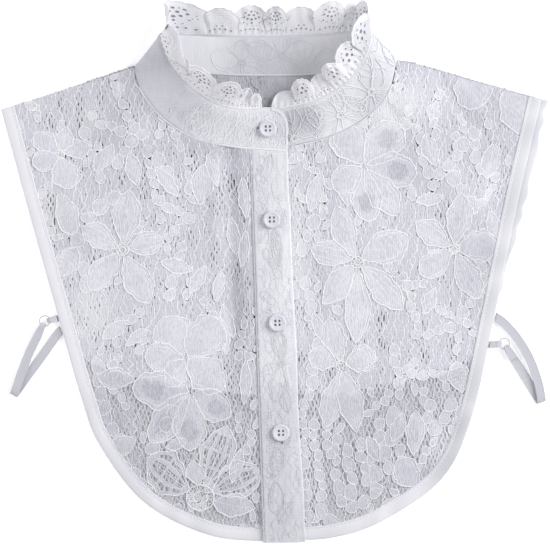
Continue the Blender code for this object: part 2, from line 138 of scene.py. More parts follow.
def cloth_material(
    name, light, dark, rough, sheen, axis, period, bump_mm, bend=1.2, across=0.0, streak=None, grey="#cecfd2"
):
    """Matt white cloth: fine ribs, a weave or streaks in its bump, and a faint cloudiness in
    its colour, which is also darker in the ribs' hollows as painted shade. The mesh's painted
    shading turns it towards its grey as painted shade, and paler below nought as painted light."""
    made, tree, shader = new_material(name)
    where = add(tree, "ShaderNodeTexCoord").outputs["Object"]
    height = ribs(tree, where, axis, period, bend)
    if across:
        height = maths(tree, "MULTIPLY", height, ribs(tree, where, "Y" if axis == "X" else "X", across, bend))
    if streak:
        height = maths(tree, "MULTIPLY_ADD", height, 0.15, streaks(tree, where, *streak))
    cloud = add(tree, "ShaderNodeTexNoise", Vector=where, Scale=60.0, Detail=3.0).outputs["Fac"]
    # Colour: clouded at random, and darker in the ribs' hollows as painted shade.
    both = maths(tree, "MULTIPLY_ADD", cloud, 0.5, height)
    low, high = (0.45, 1.0) if streak else (0.2, 1.3)
    spread = add(tree, "ShaderNodeMapRange", Value=both, From_Min=low, From_Max=high).outputs["Result"]
    # Painted shade from the mesh's attribute, and painted light where that is below nought.
    painted_shading = add(tree, "ShaderNodeAttribute", {"attribute_name": "painted_shading"}).outputs["Fac"]
    tint = mixed(tree, painted_shading, mixed(tree, spread, dark, light), grey, "MULTIPLY")
    base = mixed(tree, maths(tree, "MULTIPLY", painted_shading, -1.0, clamp=True), tint, "#fafafd")
    bump = add(tree, "ShaderNodeBump", Height=height, Distance=bump_mm * MM, Strength=0.8)
    put(
        tree, shader, Base_Color=base, Normal=bump.outputs["Normal"], Roughness=rough, Sheen_Weight=sheen,
        IOR=1.45, Specular_IOR_Level=0.25,
    )
    return made


def set_painted_shading(mesh, values):
    """The painted shade at each point of a mesh; below nought it is painted light."""
    mesh.attributes.new("painted_shading", "FLOAT", "POINT").data.foreach_set("value", values)


def spots_of(mesh):
    """The points of a mesh in millimetres."""
    return np.array([v.co for v in mesh.vertices]) / MM


# Ground and cords: soft spun yarn. Petals: dense warp-knit fill whose wales run up the cloth,
# drawn about twice as wide as the real ones so that they show.
YARN = cloth_material("lace_ground_yarn", "#dcdce4", "#cbccd5", 0.9, 0.1, "Y", 0.0009, 0.06)
# The cords' painted shade darkens them less, towards a paler grey.
CORD = cloth_material("lace_outline_cord", "#fbfbfd", "#f1f1f5", 0.75, 0.2, "Y", 0.0006, 0.05, grey="#e3e4e7")
LOW_CORD = cloth_material("lace_pressed_cord", "#f1f1f6", "#e6e6ec", 0.85, 0.1, "Y", 0.0006, 0.05)
FILL = cloth_material(
    "lace_dense_fill", "#e6e6ed", "#c3c4ce", 0.9, 0.1, "X", 0.0014, 0.4, 8.0, streak=(0.0011, 0.003)
)
THIN_FILL = cloth_material(
    "lace_thin_fill", "#d9dae2", "#b0b1bb", 0.95, 0.05, "X", 0.0014, 0.4, 8.0, streak=(0.0011, 0.003)
)


def group(name, sockets):
    """An empty geometry tree with a Geometry socket each way and the named inputs."""
    tree = bpy.data.node_groups.new(name, "GeometryNodeTree")
    tree.is_modifier = True
    tree.interface.new_socket("Geometry", in_out="OUTPUT", socket_type="NodeSocketGeometry")
    tree.interface.new_socket("Geometry", in_out="INPUT", socket_type="NodeSocketGeometry")
    for socket, kind in sockets:
        tree.interface.new_socket(socket, in_out="INPUT", socket_type=kind)
    return tree, tree.nodes.new("NodeGroupInput").outputs


def finish_tree(tree, given, cloth):
    """The end of each tree: what it made, smooth, real and in its material."""
    soft = add(tree, "GeometryNodeSetShadeSmooth", Geometry=cloth)
    real = add(tree, "GeometryNodeRealizeInstances", Geometry=soft.outputs[0])
    done = add(tree, "GeometryNodeSetMaterial", Geometry=real.outputs[0], Material=given["Material"])
    add(tree, "NodeGroupOutput", Geometry=done.outputs[0])
    return tree


def yarn_tree(name, start, sweep):
    """Lays a yarn along each line of a mesh, as wide as the points' girth says. Its section is
    the part of a circle from this angle through this sweep."""
    tree, given = group(name, [
        ("Height", "NodeSocketFloat"), ("Profile", "NodeSocketInt"), ("Material", "NodeSocketMaterial")
    ])
    girth = add(tree, "GeometryNodeInputNamedAttribute", {"data_type": "FLOAT"}, Name="girth")
    across = add(tree, "GeometryNodeInputNamedAttribute", {"data_type": "FLOAT_VECTOR"}, Name="across")
    lines = add(tree, "GeometryNodeMeshToCurve", Mesh=given["Geometry"])
    turned = add(
        tree, "GeometryNodeSetCurveNormal", {"mode": "FREE"}, Curve=lines.outputs[0], Normal=across.outputs[0]
    )
    arc = add(
        tree, "GeometryNodeCurveArc", {"mode": "RADIUS"}, Resolution=given["Profile"], Radius=1.0,
        Start_Angle=start, Sweep_Angle=sweep,
    )
    size = add(tree, "ShaderNodeCombineXYZ", X=0.5, Y=given["Height"], Z=1.0)
    flat = add(tree, "GeometryNodeTransform", Geometry=arc.outputs["Curve"], Scale=size.outputs[0])
    swept = add(
        tree, "GeometryNodeCurveToMesh", Curve=turned.outputs[0], Profile_Curve=flat.outputs[0],
        Scale=girth.outputs[0],
    )
    return finish_tree(tree, given, swept.outputs[0])


HALF_ROUND = yarn_tree("half_round_yarn_along_lines", math.pi, math.pi)


def new_object(name, data):
    """A mesh, a light or a camera as an object of the scene."""
    obj = bpy.data.objects.new(name, data)
    bpy.context.scene.collection.objects.link(obj)
    return obj


def run_tree(name, mesh, tree, **values):
    """Run a geometry tree on a mesh and return the plain mesh that it makes."""
    obj = new_object(name, mesh)
    modifier = obj.modifiers.new("make", "NODES")
    modifier.node_group = tree
    for item in tree.interface.items_tree:
        if item.in_out == "INPUT" and item.name in values:
            modifier[item.identifier] = values[item.name]
    made = bpy.data.meshes.new_from_object(obj.evaluated_get(bpy.context.evaluated_depsgraph_get()))
    bpy.data.objects.remove(obj)
    return made


def lines_mesh(lines):
    """One mesh of edges from (points, side vectors, girths, closed) lines, all in metres. One
    side vector or one girth may stand for all of a line's points."""
    points = np.concatenate([line[0] for line in lines])
    across = np.concatenate([np.broadcast_to(line[1], line[0].shape) for line in lines])
    girth = np.concatenate([np.broadcast_to(line[2], len(line[0])) for line in lines])
    edges, start = [], 0
    for line in lines:
        number = np.arange(start, start + len(line[0]))
        edges.append(np.stack([number[:-1], number[1:]], axis=1))
        if line[3]:
            edges.append([[number[-1], number[0]]])
        start += len(line[0])
    edges = np.concatenate(edges)
    mesh = bpy.data.meshes.new("lines")
    mesh.vertices.add(len(points))
    mesh.vertices.foreach_set("co", points.ravel())
    mesh.edges.add(len(edges))
    mesh.edges.foreach_set("vertices", edges.ravel())
    mesh.attributes.new("girth", "FLOAT", "POINT").data.foreach_set("value", girth)
    mesh.attributes.new("across", "FLOAT_VECTOR", "POINT").data.foreach_set("vector", across.ravel())
    mesh.update()
    return mesh


def yarn(name, lines, tree, height, profile, material):
    """The mesh of a yarn laid along each of these lines."""
    return run_tree(name, lines_mesh(lines), tree, Height=height, Profile=profile, Material=material)


def unit(vectors):
    """Vectors of the same directions, one long."""
    return vectors / np.maximum(np.linalg.norm(vectors, axis=-1, keepdims=True), 1e-9)


def add_piece(name, mesh, replaces=()):
    """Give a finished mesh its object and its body."""
    obj = new_object(name, mesh)
    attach(obj, "root")
    if replaces:
        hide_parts(*replaces)
    return obj


def joined(name, meshes):
    """Several meshes as one, each keeping its materials."""
    build = bmesh.new()
    total = bpy.data.meshes.new(name)
    for mesh in meshes:
        shift = len(total.materials)
        start = len(build.faces)
        build.from_mesh(mesh)
        build.faces.ensure_lookup_table()
        for face in build.faces[start:]:
            face.material_index += shift
        for material in mesh.materials:
            total.materials.append(material)
    build.to_mesh(total)
    build.free()
    return total


# --- Surfaces to lay cloth on --------------------------------------------------------------
# Each panel, the stand and the frill has a chart in millimetres, as if laid out flat, and a
# surface that carries a point of the chart to its place on the worn shape.


def smooth(t):
    """A soft step from 0 to 1."""
    t = np.clip(t, 0.0, 1.0)
    return t * t * (3 - 2 * t)


class Surface:
    """A grid of places, read at any point of the chart, with the outline of the cloth on it.
    face is -1 where the chart is seen from its other side."""

    def __init__(self, low, step, spots, rim, face=1, flat=False):
        self.low, self.step, self.spots, self.rim = np.array(low), np.array(step), spots, rim
        self.flat = flat
        du, dv = np.gradient(spots, axis=0), np.gradient(spots, axis=1)
        self.normals = unit(np.cross(du, dv)) * face

    def read(self, field, points):
        """A field of the grid at these points of the chart."""
        where = (points - self.low) / self.step
        where = np.clip(where, 0, np.array(field.shape[:2]) - 1.001)
        cell = where.astype(int)
        t = (where - cell)[..., None]
        i, j = cell[:, 0], cell[:, 1]
        near = field[i, j] * (1 - t[:, 1]) + field[i, j + 1] * t[:, 1]
        far = field[i + 1, j] * (1 - t[:, 1]) + field[i + 1, j + 1] * t[:, 1]
        return near * (1 - t[:, 0]) + far * t[:, 0]

    def normal(self, points):
        """The directions out from the cloth's face."""
        return unit(self.read(self.normals, points))

    def place(self, points, lift=0.0):
        """Points of the chart on the cloth, this far out from its face."""
        return self.read(self.spots, points) + self.normal(points) * np.reshape(lift, (-1, 1))

    def fit(self, points):
        """Points outside the outline moved onto it, and which ones were inside."""
        moved, inside = points.copy(), within(self.rim, points)
        out = np.flatnonzero(~inside)
        if len(out):
            a, run = self.rim[:, 0], self.rim[:, 1] - self.rim[:, 0]
            along = ((points[out][:, None] - a) * run).sum(2) / np.maximum((run**2).sum(1), 1e-9)
            near = a + run * np.clip(along, 0, 1)[..., None]
            away = np.linalg.norm(near - points[out][:, None], axis=2)
            moved[out] = near[np.arange(len(out)), away.argmin(1)]
        return moved, inside


def within(rim, points):
    """Which points lie inside a closed outline of edges."""
    a, b = rim[:, 0], rim[:, 1]
    x, y = points[:, :1], points[:, 1:]
    spans = (a[:, 1] > y) != (b[:, 1] > y)
    rise = np.where(np.abs(b[:, 1] - a[:, 1]) < 1e-9, 1e-9, b[:, 1] - a[:, 1])
    left = x < (b[:, 0] - a[:, 0]) * (y - a[:, 1]) / rise + a[:, 0]
    return (spans & left).sum(1) % 2 == 1


def outline(points):
    """The edges of a closed polygon."""
    return np.stack([points, np.roll(points, -1, axis=0)], axis=1)


Crease = namedtuple("Crease", "from_x from_y to_x to_y half height")


def crease_height(crease, x, y):
    """A soft ridge, or a trough where the height is negative, that fades at both ends."""
    run = np.array([crease.to_x - crease.from_x, crease.to_y - crease.from_y])
    along = ((x - crease.from_x) * run[0] + (y - crease.from_y) * run[1]) / (run @ run)
    side = ((y - crease.from_y) * run[0] - (x - crease.from_x) * run[1]) / np.linalg.norm(run)
    ends = smooth(along / 0.25) * smooth((1 - along) / 0.25)
    return crease.height * ends * np.exp(-((side / crease.half) ** 2))


def flat_surface(node, creases=()):
    """The upper face of a solid that lies flat, charted in plan, with soft creases laid in it."""
    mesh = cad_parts[node].data
    corners = spots_of(mesh)
    facing = [p for p in mesh.polygons if p.normal.z > 0.25]
    keys = [tuple(c) for c in np.round(corners, 2)]
    count = {}
    for polygon in facing:
        around = [keys[v] for v in polygon.vertices]
        for a, b in zip(around, around[1:] + around[:1]):
            pair = (min(a, b), max(a, b))
            count[pair] = count.get(pair, 0) + 1
    rim = np.array([[a[:2], b[:2]] for (a, b), number in count.items() if number == 1])
    step = 2.0
    low, high = corners.min(0)[:2] - 6, corners.max(0)[:2] + 6
    gx, gy = np.meshgrid(*(np.arange(low[k], high[k] + step, step) for k in (0, 1)), indexing="ij")
    tree = BVHTree.FromPolygons(corners.tolist(), [p.vertices[:] for p in facing])
    level = np.full(gx.shape, np.nan)
    for spot in np.ndindex(gx.shape):
        hit = tree.ray_cast(Vector((gx[spot], gy[spot], 100)), Vector((0, 0, -1)))[0]
        if hit:
            level[spot] = hit.z
    level = softened(level)
    for crease in creases:
        level += crease_height(crease, gx, gy)
    return Surface(low, (step, step), np.stack([gx, gy, level], axis=2), rim, flat=True)


def softened(level):
    """Round off the facets, and carry the level past the outline."""
    known = np.isfinite(level)
    held = np.where(known, np.nan_to_num(level), 0.0)
    soft, weight = held, known.astype(float)
    for _ in range(5):
        soft, weight = (
            sum(np.roll(np.roll(a, i, 0), j, 1) for i in (-1, 0, 1) for j in (-1, 0, 1)) / 9
            for a in (soft, weight)
        )
    blurred = soft / np.maximum(weight, 1e-6)
    trust = np.clip(weight * 1.4 - 0.2, 0, 1)
    return np.where(known, blurred * trust + held * (1 - trust), blurred)


# --- The lace chart -------------------------------------------------------------------------
# Motifs drawn by rule: petals, leaves and pebbles, each a dense patch with a cord round it.
# Between them lies the ground, and pebbles scattered by a fixed seed fill the wider gaps.

# Height of the ground strands, the fill and the cords above the cloth's face.
GROUND_LIFT, FILL_LIFT, CORD_LIFT = -0.45, -0.02, 0.02
STRAND_PITCH, STRAND_WIDTH, SLIT_LENGTH = 1.4, 1.95, 7.6
# How high a cord stands for its width: on the panels' lace, and pressed into a folded band.
CORD_RELIEF, PRESSED_RELIEF = 0.5, 0.22


def inside_any(outlines, points):
    """Which points any of these outlines covers."""
    covered = np.zeros(len(points), bool)
    least, most = points.min(0), points.max(0)
    for shape in outlines:
        low, high = shape.min(0), shape.max(0)
        if (low > most).any() or (high < least).any():
            continue
        near = np.flatnonzero(((points >= low) & (points <= high)).all(1) & ~covered)
        if len(near):
            covered[near] = within(outline(shape), points[near])
    return covered


def ground_strands(surface, box, seed, outlines, width, calm):
    """Wavy strands up the cloth that touch their neighbours in turn and leave slits between,
    left out where a motif covers them. Every second one carries a fine crest yarn."""
    rng = np.random.default_rng(seed)
    (x0, y0), (x1, y1) = box
    step = SLIT_LENGTH / 7
    ys = np.arange(y0, y1, step)
    drift = rng.normal(0, 1, (3, len(ys) // 8 + 3, 40))
    strands, crests = [], []
    for number, x in enumerate(np.arange(x0, x1, STRAND_PITCH)):
        ragged = x + 7 * np.sin(ys / 3.3 + 0.11 * x) + rng.normal(0, 5)
        quiet = smooth((ragged - calm[0]) / 26) * smooth((calm[1] - ragged) / 26) * (calm[0] < calm[1])
        column = np.clip((x - x0) / (x1 - x0) * 38.99, 0, 38.99)
        low = int(column)
        wander = drift[:, :, low] * (1 - column + low) + drift[:, :, low + 1] * (column - low)
        knots = np.arange(wander.shape[1]) * 8 * step + y0
        phase = np.interp(ys, knots, wander[0]) * 1.3
        bend = np.interp(ys, knots, wander[1]) * 0.55
        swell = np.clip(1 + 0.2 * np.interp(ys, knots, wander[2]) + rng.normal(0, 0.05, len(ys)), 0.7, 1.5)
        straight = np.column_stack([np.full(len(ys), x), ys])
        open_net = 1.0 - within(UNDERLAY, straight) if surface.flat else np.zeros(len(ys))
        sway = (0.3 + 0.25 * open_net) * np.sin(2 * math.pi * ys / SLIT_LENGTH + math.pi * number + phase)
        sway += 0.12 * np.sin(2 * math.pi * ys / 3.1 + number * 2.4)
        swell *= 1 - 0.4 * open_net
        line = np.column_stack([x + bend + sway, ys + 0.3 * np.sin(ys / 1.7 + number)])
        fitted, inside = surface.fit(line)
        keep = inside | np.append(inside[1:], False) | np.insert(inside[:-1], 0, False)
        keep &= ~inside_any(outlines, line) & (quiet < 0.8)
        swell *= 1 - 0.9 * quiet
        for run in np.split(np.arange(len(ys)), np.flatnonzero(~keep)):
            run = run[keep[run]]
            if len(run) > 2:
                strands.append((fitted[run], width * swell[run]))
                if number % 2 == 0:
                    up = ys[run]
                    beat = 2 * math.pi * up / 10.5 + 1.5 * number + phase[run]
                    side = (0.7 + 0.25 * wander[1, 3]) * np.sin(beat)
                    side += 0.4 * np.sin(up / 1.1 + number * 1.3) + 0.3 * np.sin(up / 2.9 + number)
                    uneven = swell[run] * (0.85 + 0.35 * np.sin(up / 4.3 + number * 2))
                    girth = 0.72 * np.clip(uneven, 0.3, 1.3)
                    crests.append((fitted[run] + np.column_stack([side, 0 * side]), girth))
    return strands, crests


def on_cloth(surface, line, width, lift, closed=False):
    """A chart line set on the cloth, with the side vectors that keep its yarn flat on it."""
    spot = surface.place(line, lift)
    across = unit(np.cross(np.gradient(spot, axis=0), surface.normal(line)))
    return spot * MM, across, width * MM, closed


Motif = namedtuple("Motif", "x y heading length width style")


def petal_parts(motif, seed):
    """The patch and the cords of one petal or leaf, in chart millimetres."""
    t = np.linspace(0, 1, 19)
    broad = motif.style in ("round", "solid", "sheer")
    belly = 1.0 if motif.style == "leaf" else 1.2
    blunt = {"leaf": 1.0, "ribbed": 0.85, "open": 0.8, "fan": 0.8}.get(motif.style, 0.6)
    lean = 0.16 * math.sin(seed * 3.3)
    sides = []
    for hand in (-1, 1):
        corners = 0.5 + 0.5 * np.cos(2 * math.pi * (t * 3.1 + seed + 0.3 * hand))
        shape = np.sin(math.pi * t ** (belly + lean * hand)) ** blunt
        ripple = 0.035 * np.sin(21 * t + seed * hand) + 0.025 * np.sin(37 * t + 2 * seed)
        scallops = np.abs(np.sin(math.pi * (t * 2.4 + 0.37 * seed + 0.4 * hand))) * smooth((t - 0.2) / 0.3)
        ripple += broad * 0.15 * (scallops - 0.5)
        jagged = (0.04 if broad else 0.12) * (corners - 0.5)
        sides.append(0.5 * motif.width * shape * (0.97 + jagged + ripple))
    half = np.minimum(*sides)
    turn = math.radians(motif.heading)
    ahead = np.array([math.cos(turn), math.sin(turn)])
    side = np.array([-ahead[1], ahead[0]])
    bend = 0.07 * motif.length * math.sin(seed * 2.1)
    spine = np.array([motif.x, motif.y]) + np.outer(t * motif.length, ahead) + np.outer(bend * t * t, side)
    across = np.linspace(-1, 1, 9)
    reach = np.where(across < 0, sides[0][:, None], sides[1][:, None])
    patch = spine[:, None] + (across * reach)[..., None] * side
    cords = [(np.vstack([patch[:, 0], patch[::-1, -1][1:-1]]), 1.0, True)]
    inner = slice(2, -2)
    if motif.style != "leaf":
        rim = slice(6, -3) if seed % 2 < 1.2 else slice(4, -6)
        cords.append((patch[rim, 1] + 0.15 * side, 0.6, False))
        cords.append((patch[7:-2, -2], 0.6, False))
    if motif.style in ("ribbed", "open"):
        for share in (-0.5, 0.0, 0.5):
            wave = share + 0.07 * np.sin(11 * t[inner] + seed + 3 * share) * (motif.style == "ribbed")
            cords.append((spine[inner] + np.outer(half[inner] * wave, side), 0.62, False))
    elif motif.style == "leaf":
        cords.append((spine[1:-1], 0.62, False))
    elif motif.style == "fan":
        for row in range(3, len(spine) - 2, 2):
            ahead_of = (spine[row] - spine[row - 1]) * 1.6
            cords.append((patch[row, 1:-1] + np.outer(1 - across[1:-1] ** 2, ahead_of), 0.6, False))
    return patch, cords, motif.style


def oval(x, y, rx, ry, turn, steps=12):
    """The points of an oval, turned by this angle."""
    angle = np.linspace(0, 2 * math.pi, steps, endpoint=False)
    ring = np.column_stack([rx * np.cos(angle), ry * np.sin(angle)])
    c, s = math.cos(turn), math.sin(turn)
    return ring @ np.array([[c, s], [-s, c]]) + [x, y]


def pebble_parts(x, y, rx, ry, turn, marked):
    """A small dense oval with its cord and, on some, a ring in its middle."""
    ring = oval(x, y, rx, ry, turn)
    middle = np.array([x, y])
    beat = np.arange(len(ring)) * 2 * math.pi / len(ring)
    uneven = 1 + 0.07 * np.sin(3 * beat + x) + 0.06 * np.sin(2 * beat + 2 * y)
    ring = middle + (ring - middle) * uneven[:, None]
    rows = np.stack([middle + (ring - middle) * share for share in (0.0, 0.55, 1.0)])
    cords = [(ring, 0.85, True)]
    if marked:
        cords.append((middle + (ring - middle) * 0.45, 0.45, True))
    return np.concatenate([rows, rows[:, :1]], axis=1), cords, "pebble"


Flower = namedtuple("Flower", "x y centre turns lengths widths styles")
Chain = namedtuple("Chain", "from_x from_y to_x to_y pebbles")
# No pebbles are scattered in the trough beside the placket: its lower left and upper right.
TROUGH = ((-46, -20), (-13, 110))


def scatter(box, outlines, seed, tries):
    """Runs of pebbles, mostly up and down the cloth, in the gaps that the motifs leave."""
    rng = np.random.default_rng(seed)
    low, high = np.array(box[0]), np.array(box[1])
    gx, gy = np.meshgrid(*(np.arange(low[k], high[k]) for k in (0, 1)), indexing="ij")
    grid = np.column_stack([gx.ravel(), gy.ravel()])
    (left, bottom), (right, top) = TROUGH
    taken = inside_any(outlines, grid).reshape(gx.shape)
    taken |= (gx > left) & (gx < right) & (gy > bottom) & (gy < top)
    for _ in range(2):
        taken |= np.roll(taken, 1, 0) | np.roll(taken, -1, 0) | np.roll(taken, 1, 1) | np.roll(taken, -1, 1)
    made = []
    for _ in range(tries):
        at = low + rng.random(2) * (high - low)
        heading = math.pi / 2 * rng.choice([-1, 1]) + rng.normal(0, 0.5)
        for k in range(rng.integers(1, 6)):
            cell = tuple(np.clip((at - low).astype(int), 0, np.array(gx.shape) - 1))
            if taken[cell]:
                break
            rx, ry = rng.uniform(2.9, 4.4), rng.uniform(2.1, 3.1)
            made.append(pebble_parts(*at, rx, ry, heading + rng.normal(0, 0.3), rng.random() < 0.25))
            taken |= (gx - at[0]) ** 2 + (gy - at[1]) ** 2 < (rx + 3.4) ** 2
            heading += rng.normal(0, 0.35)
            at = at + np.array([math.cos(heading), math.sin(heading)]) * (rx * 1.9)
            if not ((at > low) & (at < high)).all():
                break
            cell = tuple((at - low).astype(int))
            taken[cell] = inside_any(outlines, at[None])[0]
    return made


def chart_parts(flowers, leaves, chains, box, seed, tries):
    """Every patch and cord of a chart. Later motifs lie over earlier ones."""
    patches, cords, outlines = [], [], []

    def take(parts, lift=0.0):
        """Add one motif on top of those before it."""
        patch, lines, style = parts
        patches.append((patch, style, lift, len(outlines)))
        cords.extend((line, width, closed, lift, len(outlines)) for line, width, closed in lines)
        if style not in ("sheer", "open"):
            shape, middle = lines[0][0], lines[0][0].mean(0)
            outlines.append(middle + (shape - middle) * 0.9)

    petals = [(petal_parts(leaf, number * 1.7), 0.0) for number, leaf in enumerate(leaves)]
    for number, flower in enumerate(flowers):
        start = max(flower.centre - 1.0, 1.5)
        for k, (turn, length, width, style) in enumerate(zip(*flower[3:])):
            foot = np.array([math.cos(math.radians(turn)), math.sin(math.radians(turn))]) * start
            motif = Motif(flower.x + foot[0], flower.y + foot[1], turn, length - start, width, style)
            petals.append((petal_parts(motif, k * 2.3 + number), 0.03 * (k % 3)))
    shapes = [parts[1][0][0] for parts, _ in petals]
    chained = []
    for number, chain in enumerate(chains):
        start, run = np.array(chain[:2]), np.array(chain[2:4]) - np.array(chain[:2])
        pace = np.linalg.norm(run) / max(chain.pebbles - 1, 1)
        heading = math.atan2(run[1], run[0])
        side = np.array([-math.sin(heading), math.cos(heading)])
        for k in range(chain.pebbles):
            at = start + run * k / max(chain.pebbles - 1, 1) + side * 1.1 * math.sin(2.2 * k + number)
            swell = 1 + 0.14 * math.sin(3.7 * k + number)
            turn = heading + 0.3 * math.sin(k * 5 + number)
            chained.append(
                pebble_parts(*at, 0.54 * pace * swell, 0.44 * pace * swell, turn, (k + number) % 3 == 0)
            )
    shapes += [parts[1][0][0] for parts in chained]
    for parts in scatter(box, shapes, seed, tries) + chained:
        take(parts)
    for parts, lift in petals:
        take(parts, lift)
    for flower in flowers:
        if flower.centre > 1.5:
            for ring, girth in ((1.0, 1.3 if flower.centre > 6 else 0.95), (0.5, 0.9)):
                loop = oval(flower.x, flower.y, flower.centre * ring, flower.centre * ring * 0.92, 0, 24)
                cords.append((loop, girth, True, 0.1, len(outlines)))
            count = max(6, round(flower.centre * 1.6))
            for angle in np.linspace(0, 2 * math.pi, count, endpoint=False):
                x = flower.x + 0.75 * flower.centre * math.cos(angle)
                y = flower.y + 0.7 * flower.centre * math.sin(angle)
                ring = oval(x, y, 0.17 * flower.centre, 0.12 * flower.centre, angle, 8)
                cords.append((ring, 0.6, True, 0.1, len(outlines)))
    return patches, cords, outlines


def grid_quads(rows, columns):
    """The four corners' numbers of each cell in a grid of points."""
    number = np.arange(rows * columns).reshape(rows, columns)
    return np.stack([number[:-1, :-1], number[1:, :-1], number[1:, 1:], number[:-1, 1:]], axis=-1)


def patch_mesh(surface, patches, outlines, stuff):
    """The dense fills as one mesh of small grids, cut off clean at the cloth's outline and left
    out where a later motif hides them. A sheer petal is thin in a window near its tip."""
    corners, faces, thin, start = [], [], [], 0
    for patch, style, lift, order in patches:
        rows, columns = patch.shape[:2]
        flat = patch.reshape(-1, 2)
        fitted, inside = surface.fit(flat)
        if not inside.any():
            continue
        a = np.linspace(-1, 1, columns)
        t = np.linspace(0, 1, rows)
        crown = 0.25 * np.outer(np.sin(math.pi * np.clip(t, 0.02, 0.98)) ** 0.4, 1 - a**2)
        spot = surface.place(fitted, FILL_LIFT + lift + crown.ravel())
        quads = grid_quads(rows, columns)
        keep = inside.reshape(rows, columns)
        used = keep[:-1, :-1] | keep[1:, :-1] | keep[1:, 1:] | keep[:-1, 1:]
        under = inside_any(outlines[order + 1 :], flat).reshape(rows, columns)
        used &= ~(under[:-1, :-1] & under[1:, :-1] & under[1:, 1:] & under[:-1, 1:])
        window = (((a[:-1] + 0.12) / 0.52) ** 2)[None] + (((t[:-1] - 0.62) / 0.21) ** 2)[:, None] < 1
        thinned = (window & (style == "sheer"))[used]
        if style == "open":
            slit_rows = (np.arange(rows - 1) % 5 > 0) & (t[:-1] > 0.12) & (t[:-1] < 0.86)
            used &= ~np.outer(slit_rows, np.isin(np.arange(columns - 1), (1, 3, 4, 6)))
            thinned = np.zeros(used.sum(), bool)
        quads = quads[used]
        if not len(quads):
            continue
        turn = np.cross(spot[quads[:, 2]] - spot[quads[:, 0]], spot[quads[:, 3]] - spot[quads[:, 1]])
        inward = (turn * surface.normal(fitted[quads[:, 0]])).sum(1) < 0
        quads[inward] = quads[inward][:, ::-1]
        corners.append(spot * MM)
        faces.append(quads + start)
        thin.append(thinned)
        start += rows * columns
    mesh = bpy.data.meshes.new("fills")
    mesh.from_pydata(np.concatenate(corners).tolist(), [], np.concatenate(faces).tolist())
    mesh.polygons.foreach_set("material_index", np.concatenate(thin).astype(np.int32))
    build = bmesh.new()
    build.from_mesh(mesh)
    bmesh.ops.dissolve_degenerate(build, edges=build.edges, dist=0.00002)
    bmesh.ops.delete(build, geom=[v for v in build.verts if not v.link_faces], context="VERTS")
    build.to_mesh(mesh)
    build.free()
    mesh.shade_smooth()
    mesh.materials.append(stuff)
    mesh.materials.append(THIN_FILL)
    return mesh


def cord_lines(surface, cords, width, outlines):
    """The outline cords, ended at the cloth's edge and where a later motif hides them."""
    made = []
    rng = np.random.default_rng(len(cords))
    for line, girth, closed, lift, order in cords:
        line = line + rng.uniform(-0.24, 0.24, line.shape)
        girth = girth * rng.uniform(0.75, 1.2, len(line))
        fitted, inside = surface.fit(line)
        inside &= ~inside_any(outlines[order + 1 :], line)
        if inside.all():
            made.append(on_cloth(surface, line, width * girth, CORD_LIFT + lift, closed))
            continue
        if closed:
            gap = int(np.flatnonzero(~inside)[0])
            fitted, inside, girth = (np.roll(a, -gap, axis=0) for a in (fitted, inside, girth))
        for run in np.split(np.arange(len(line)), np.flatnonzero(~inside)):
            run = run[inside[run]]
            if len(run) > 2:
                made.append(on_cloth(surface, fitted[run], width * girth[run], CORD_LIFT + lift))
    return made


def lay_lace(
    surface, box, chart, seed, width=STRAND_WIDTH, cord=0.82, tries=260, stuff=(YARN, CORD, FILL),
    calm=(0, 0),
):
    """The ground with its fills, and the cords, of one piece of lace. Between the two calm
    stations the lace is pressed so flat into its inner layer that only that shows."""
    ground_yarn, raised, dense = stuff
    crest = ground_yarn if dense is ground_yarn else raised
    patches, cords, outlines = chart_parts(*chart, box, seed, tries)
    if dense is None:
        patches, outlines = [], []
    strands, crests = ground_strands(surface, box, seed, outlines, width, calm)
    ground = [on_cloth(surface, line, girth, GROUND_LIFT) for line, girth in strands]
    fine = [on_cloth(surface, line, girth, GROUND_LIFT + 0.3) for line, girth in crests]
    meshes = []
    if ground:
        meshes.append(yarn("ground", ground, HALF_ROUND, 0.28, 3, ground_yarn))
        meshes.append(yarn("crests", fine, HALF_ROUND, 0.35, 3, crest))
    if patches:
        meshes.append(patch_mesh(surface, patches, outlines, dense))
    lines = cord_lines(surface, cords, cord, outlines)
    relief = CORD_RELIEF if dense else PRESSED_RELIEF
    return joined("lace", meshes), yarn("cords", lines, HALF_ROUND, relief, 4, raised)


# --- Front panels ---------------------------------------------------------------------------
# Two panels of the lace in one layer, bound at the side and hem and seamed into the neck. The
# left one ends at the placket and the right one runs on under it.

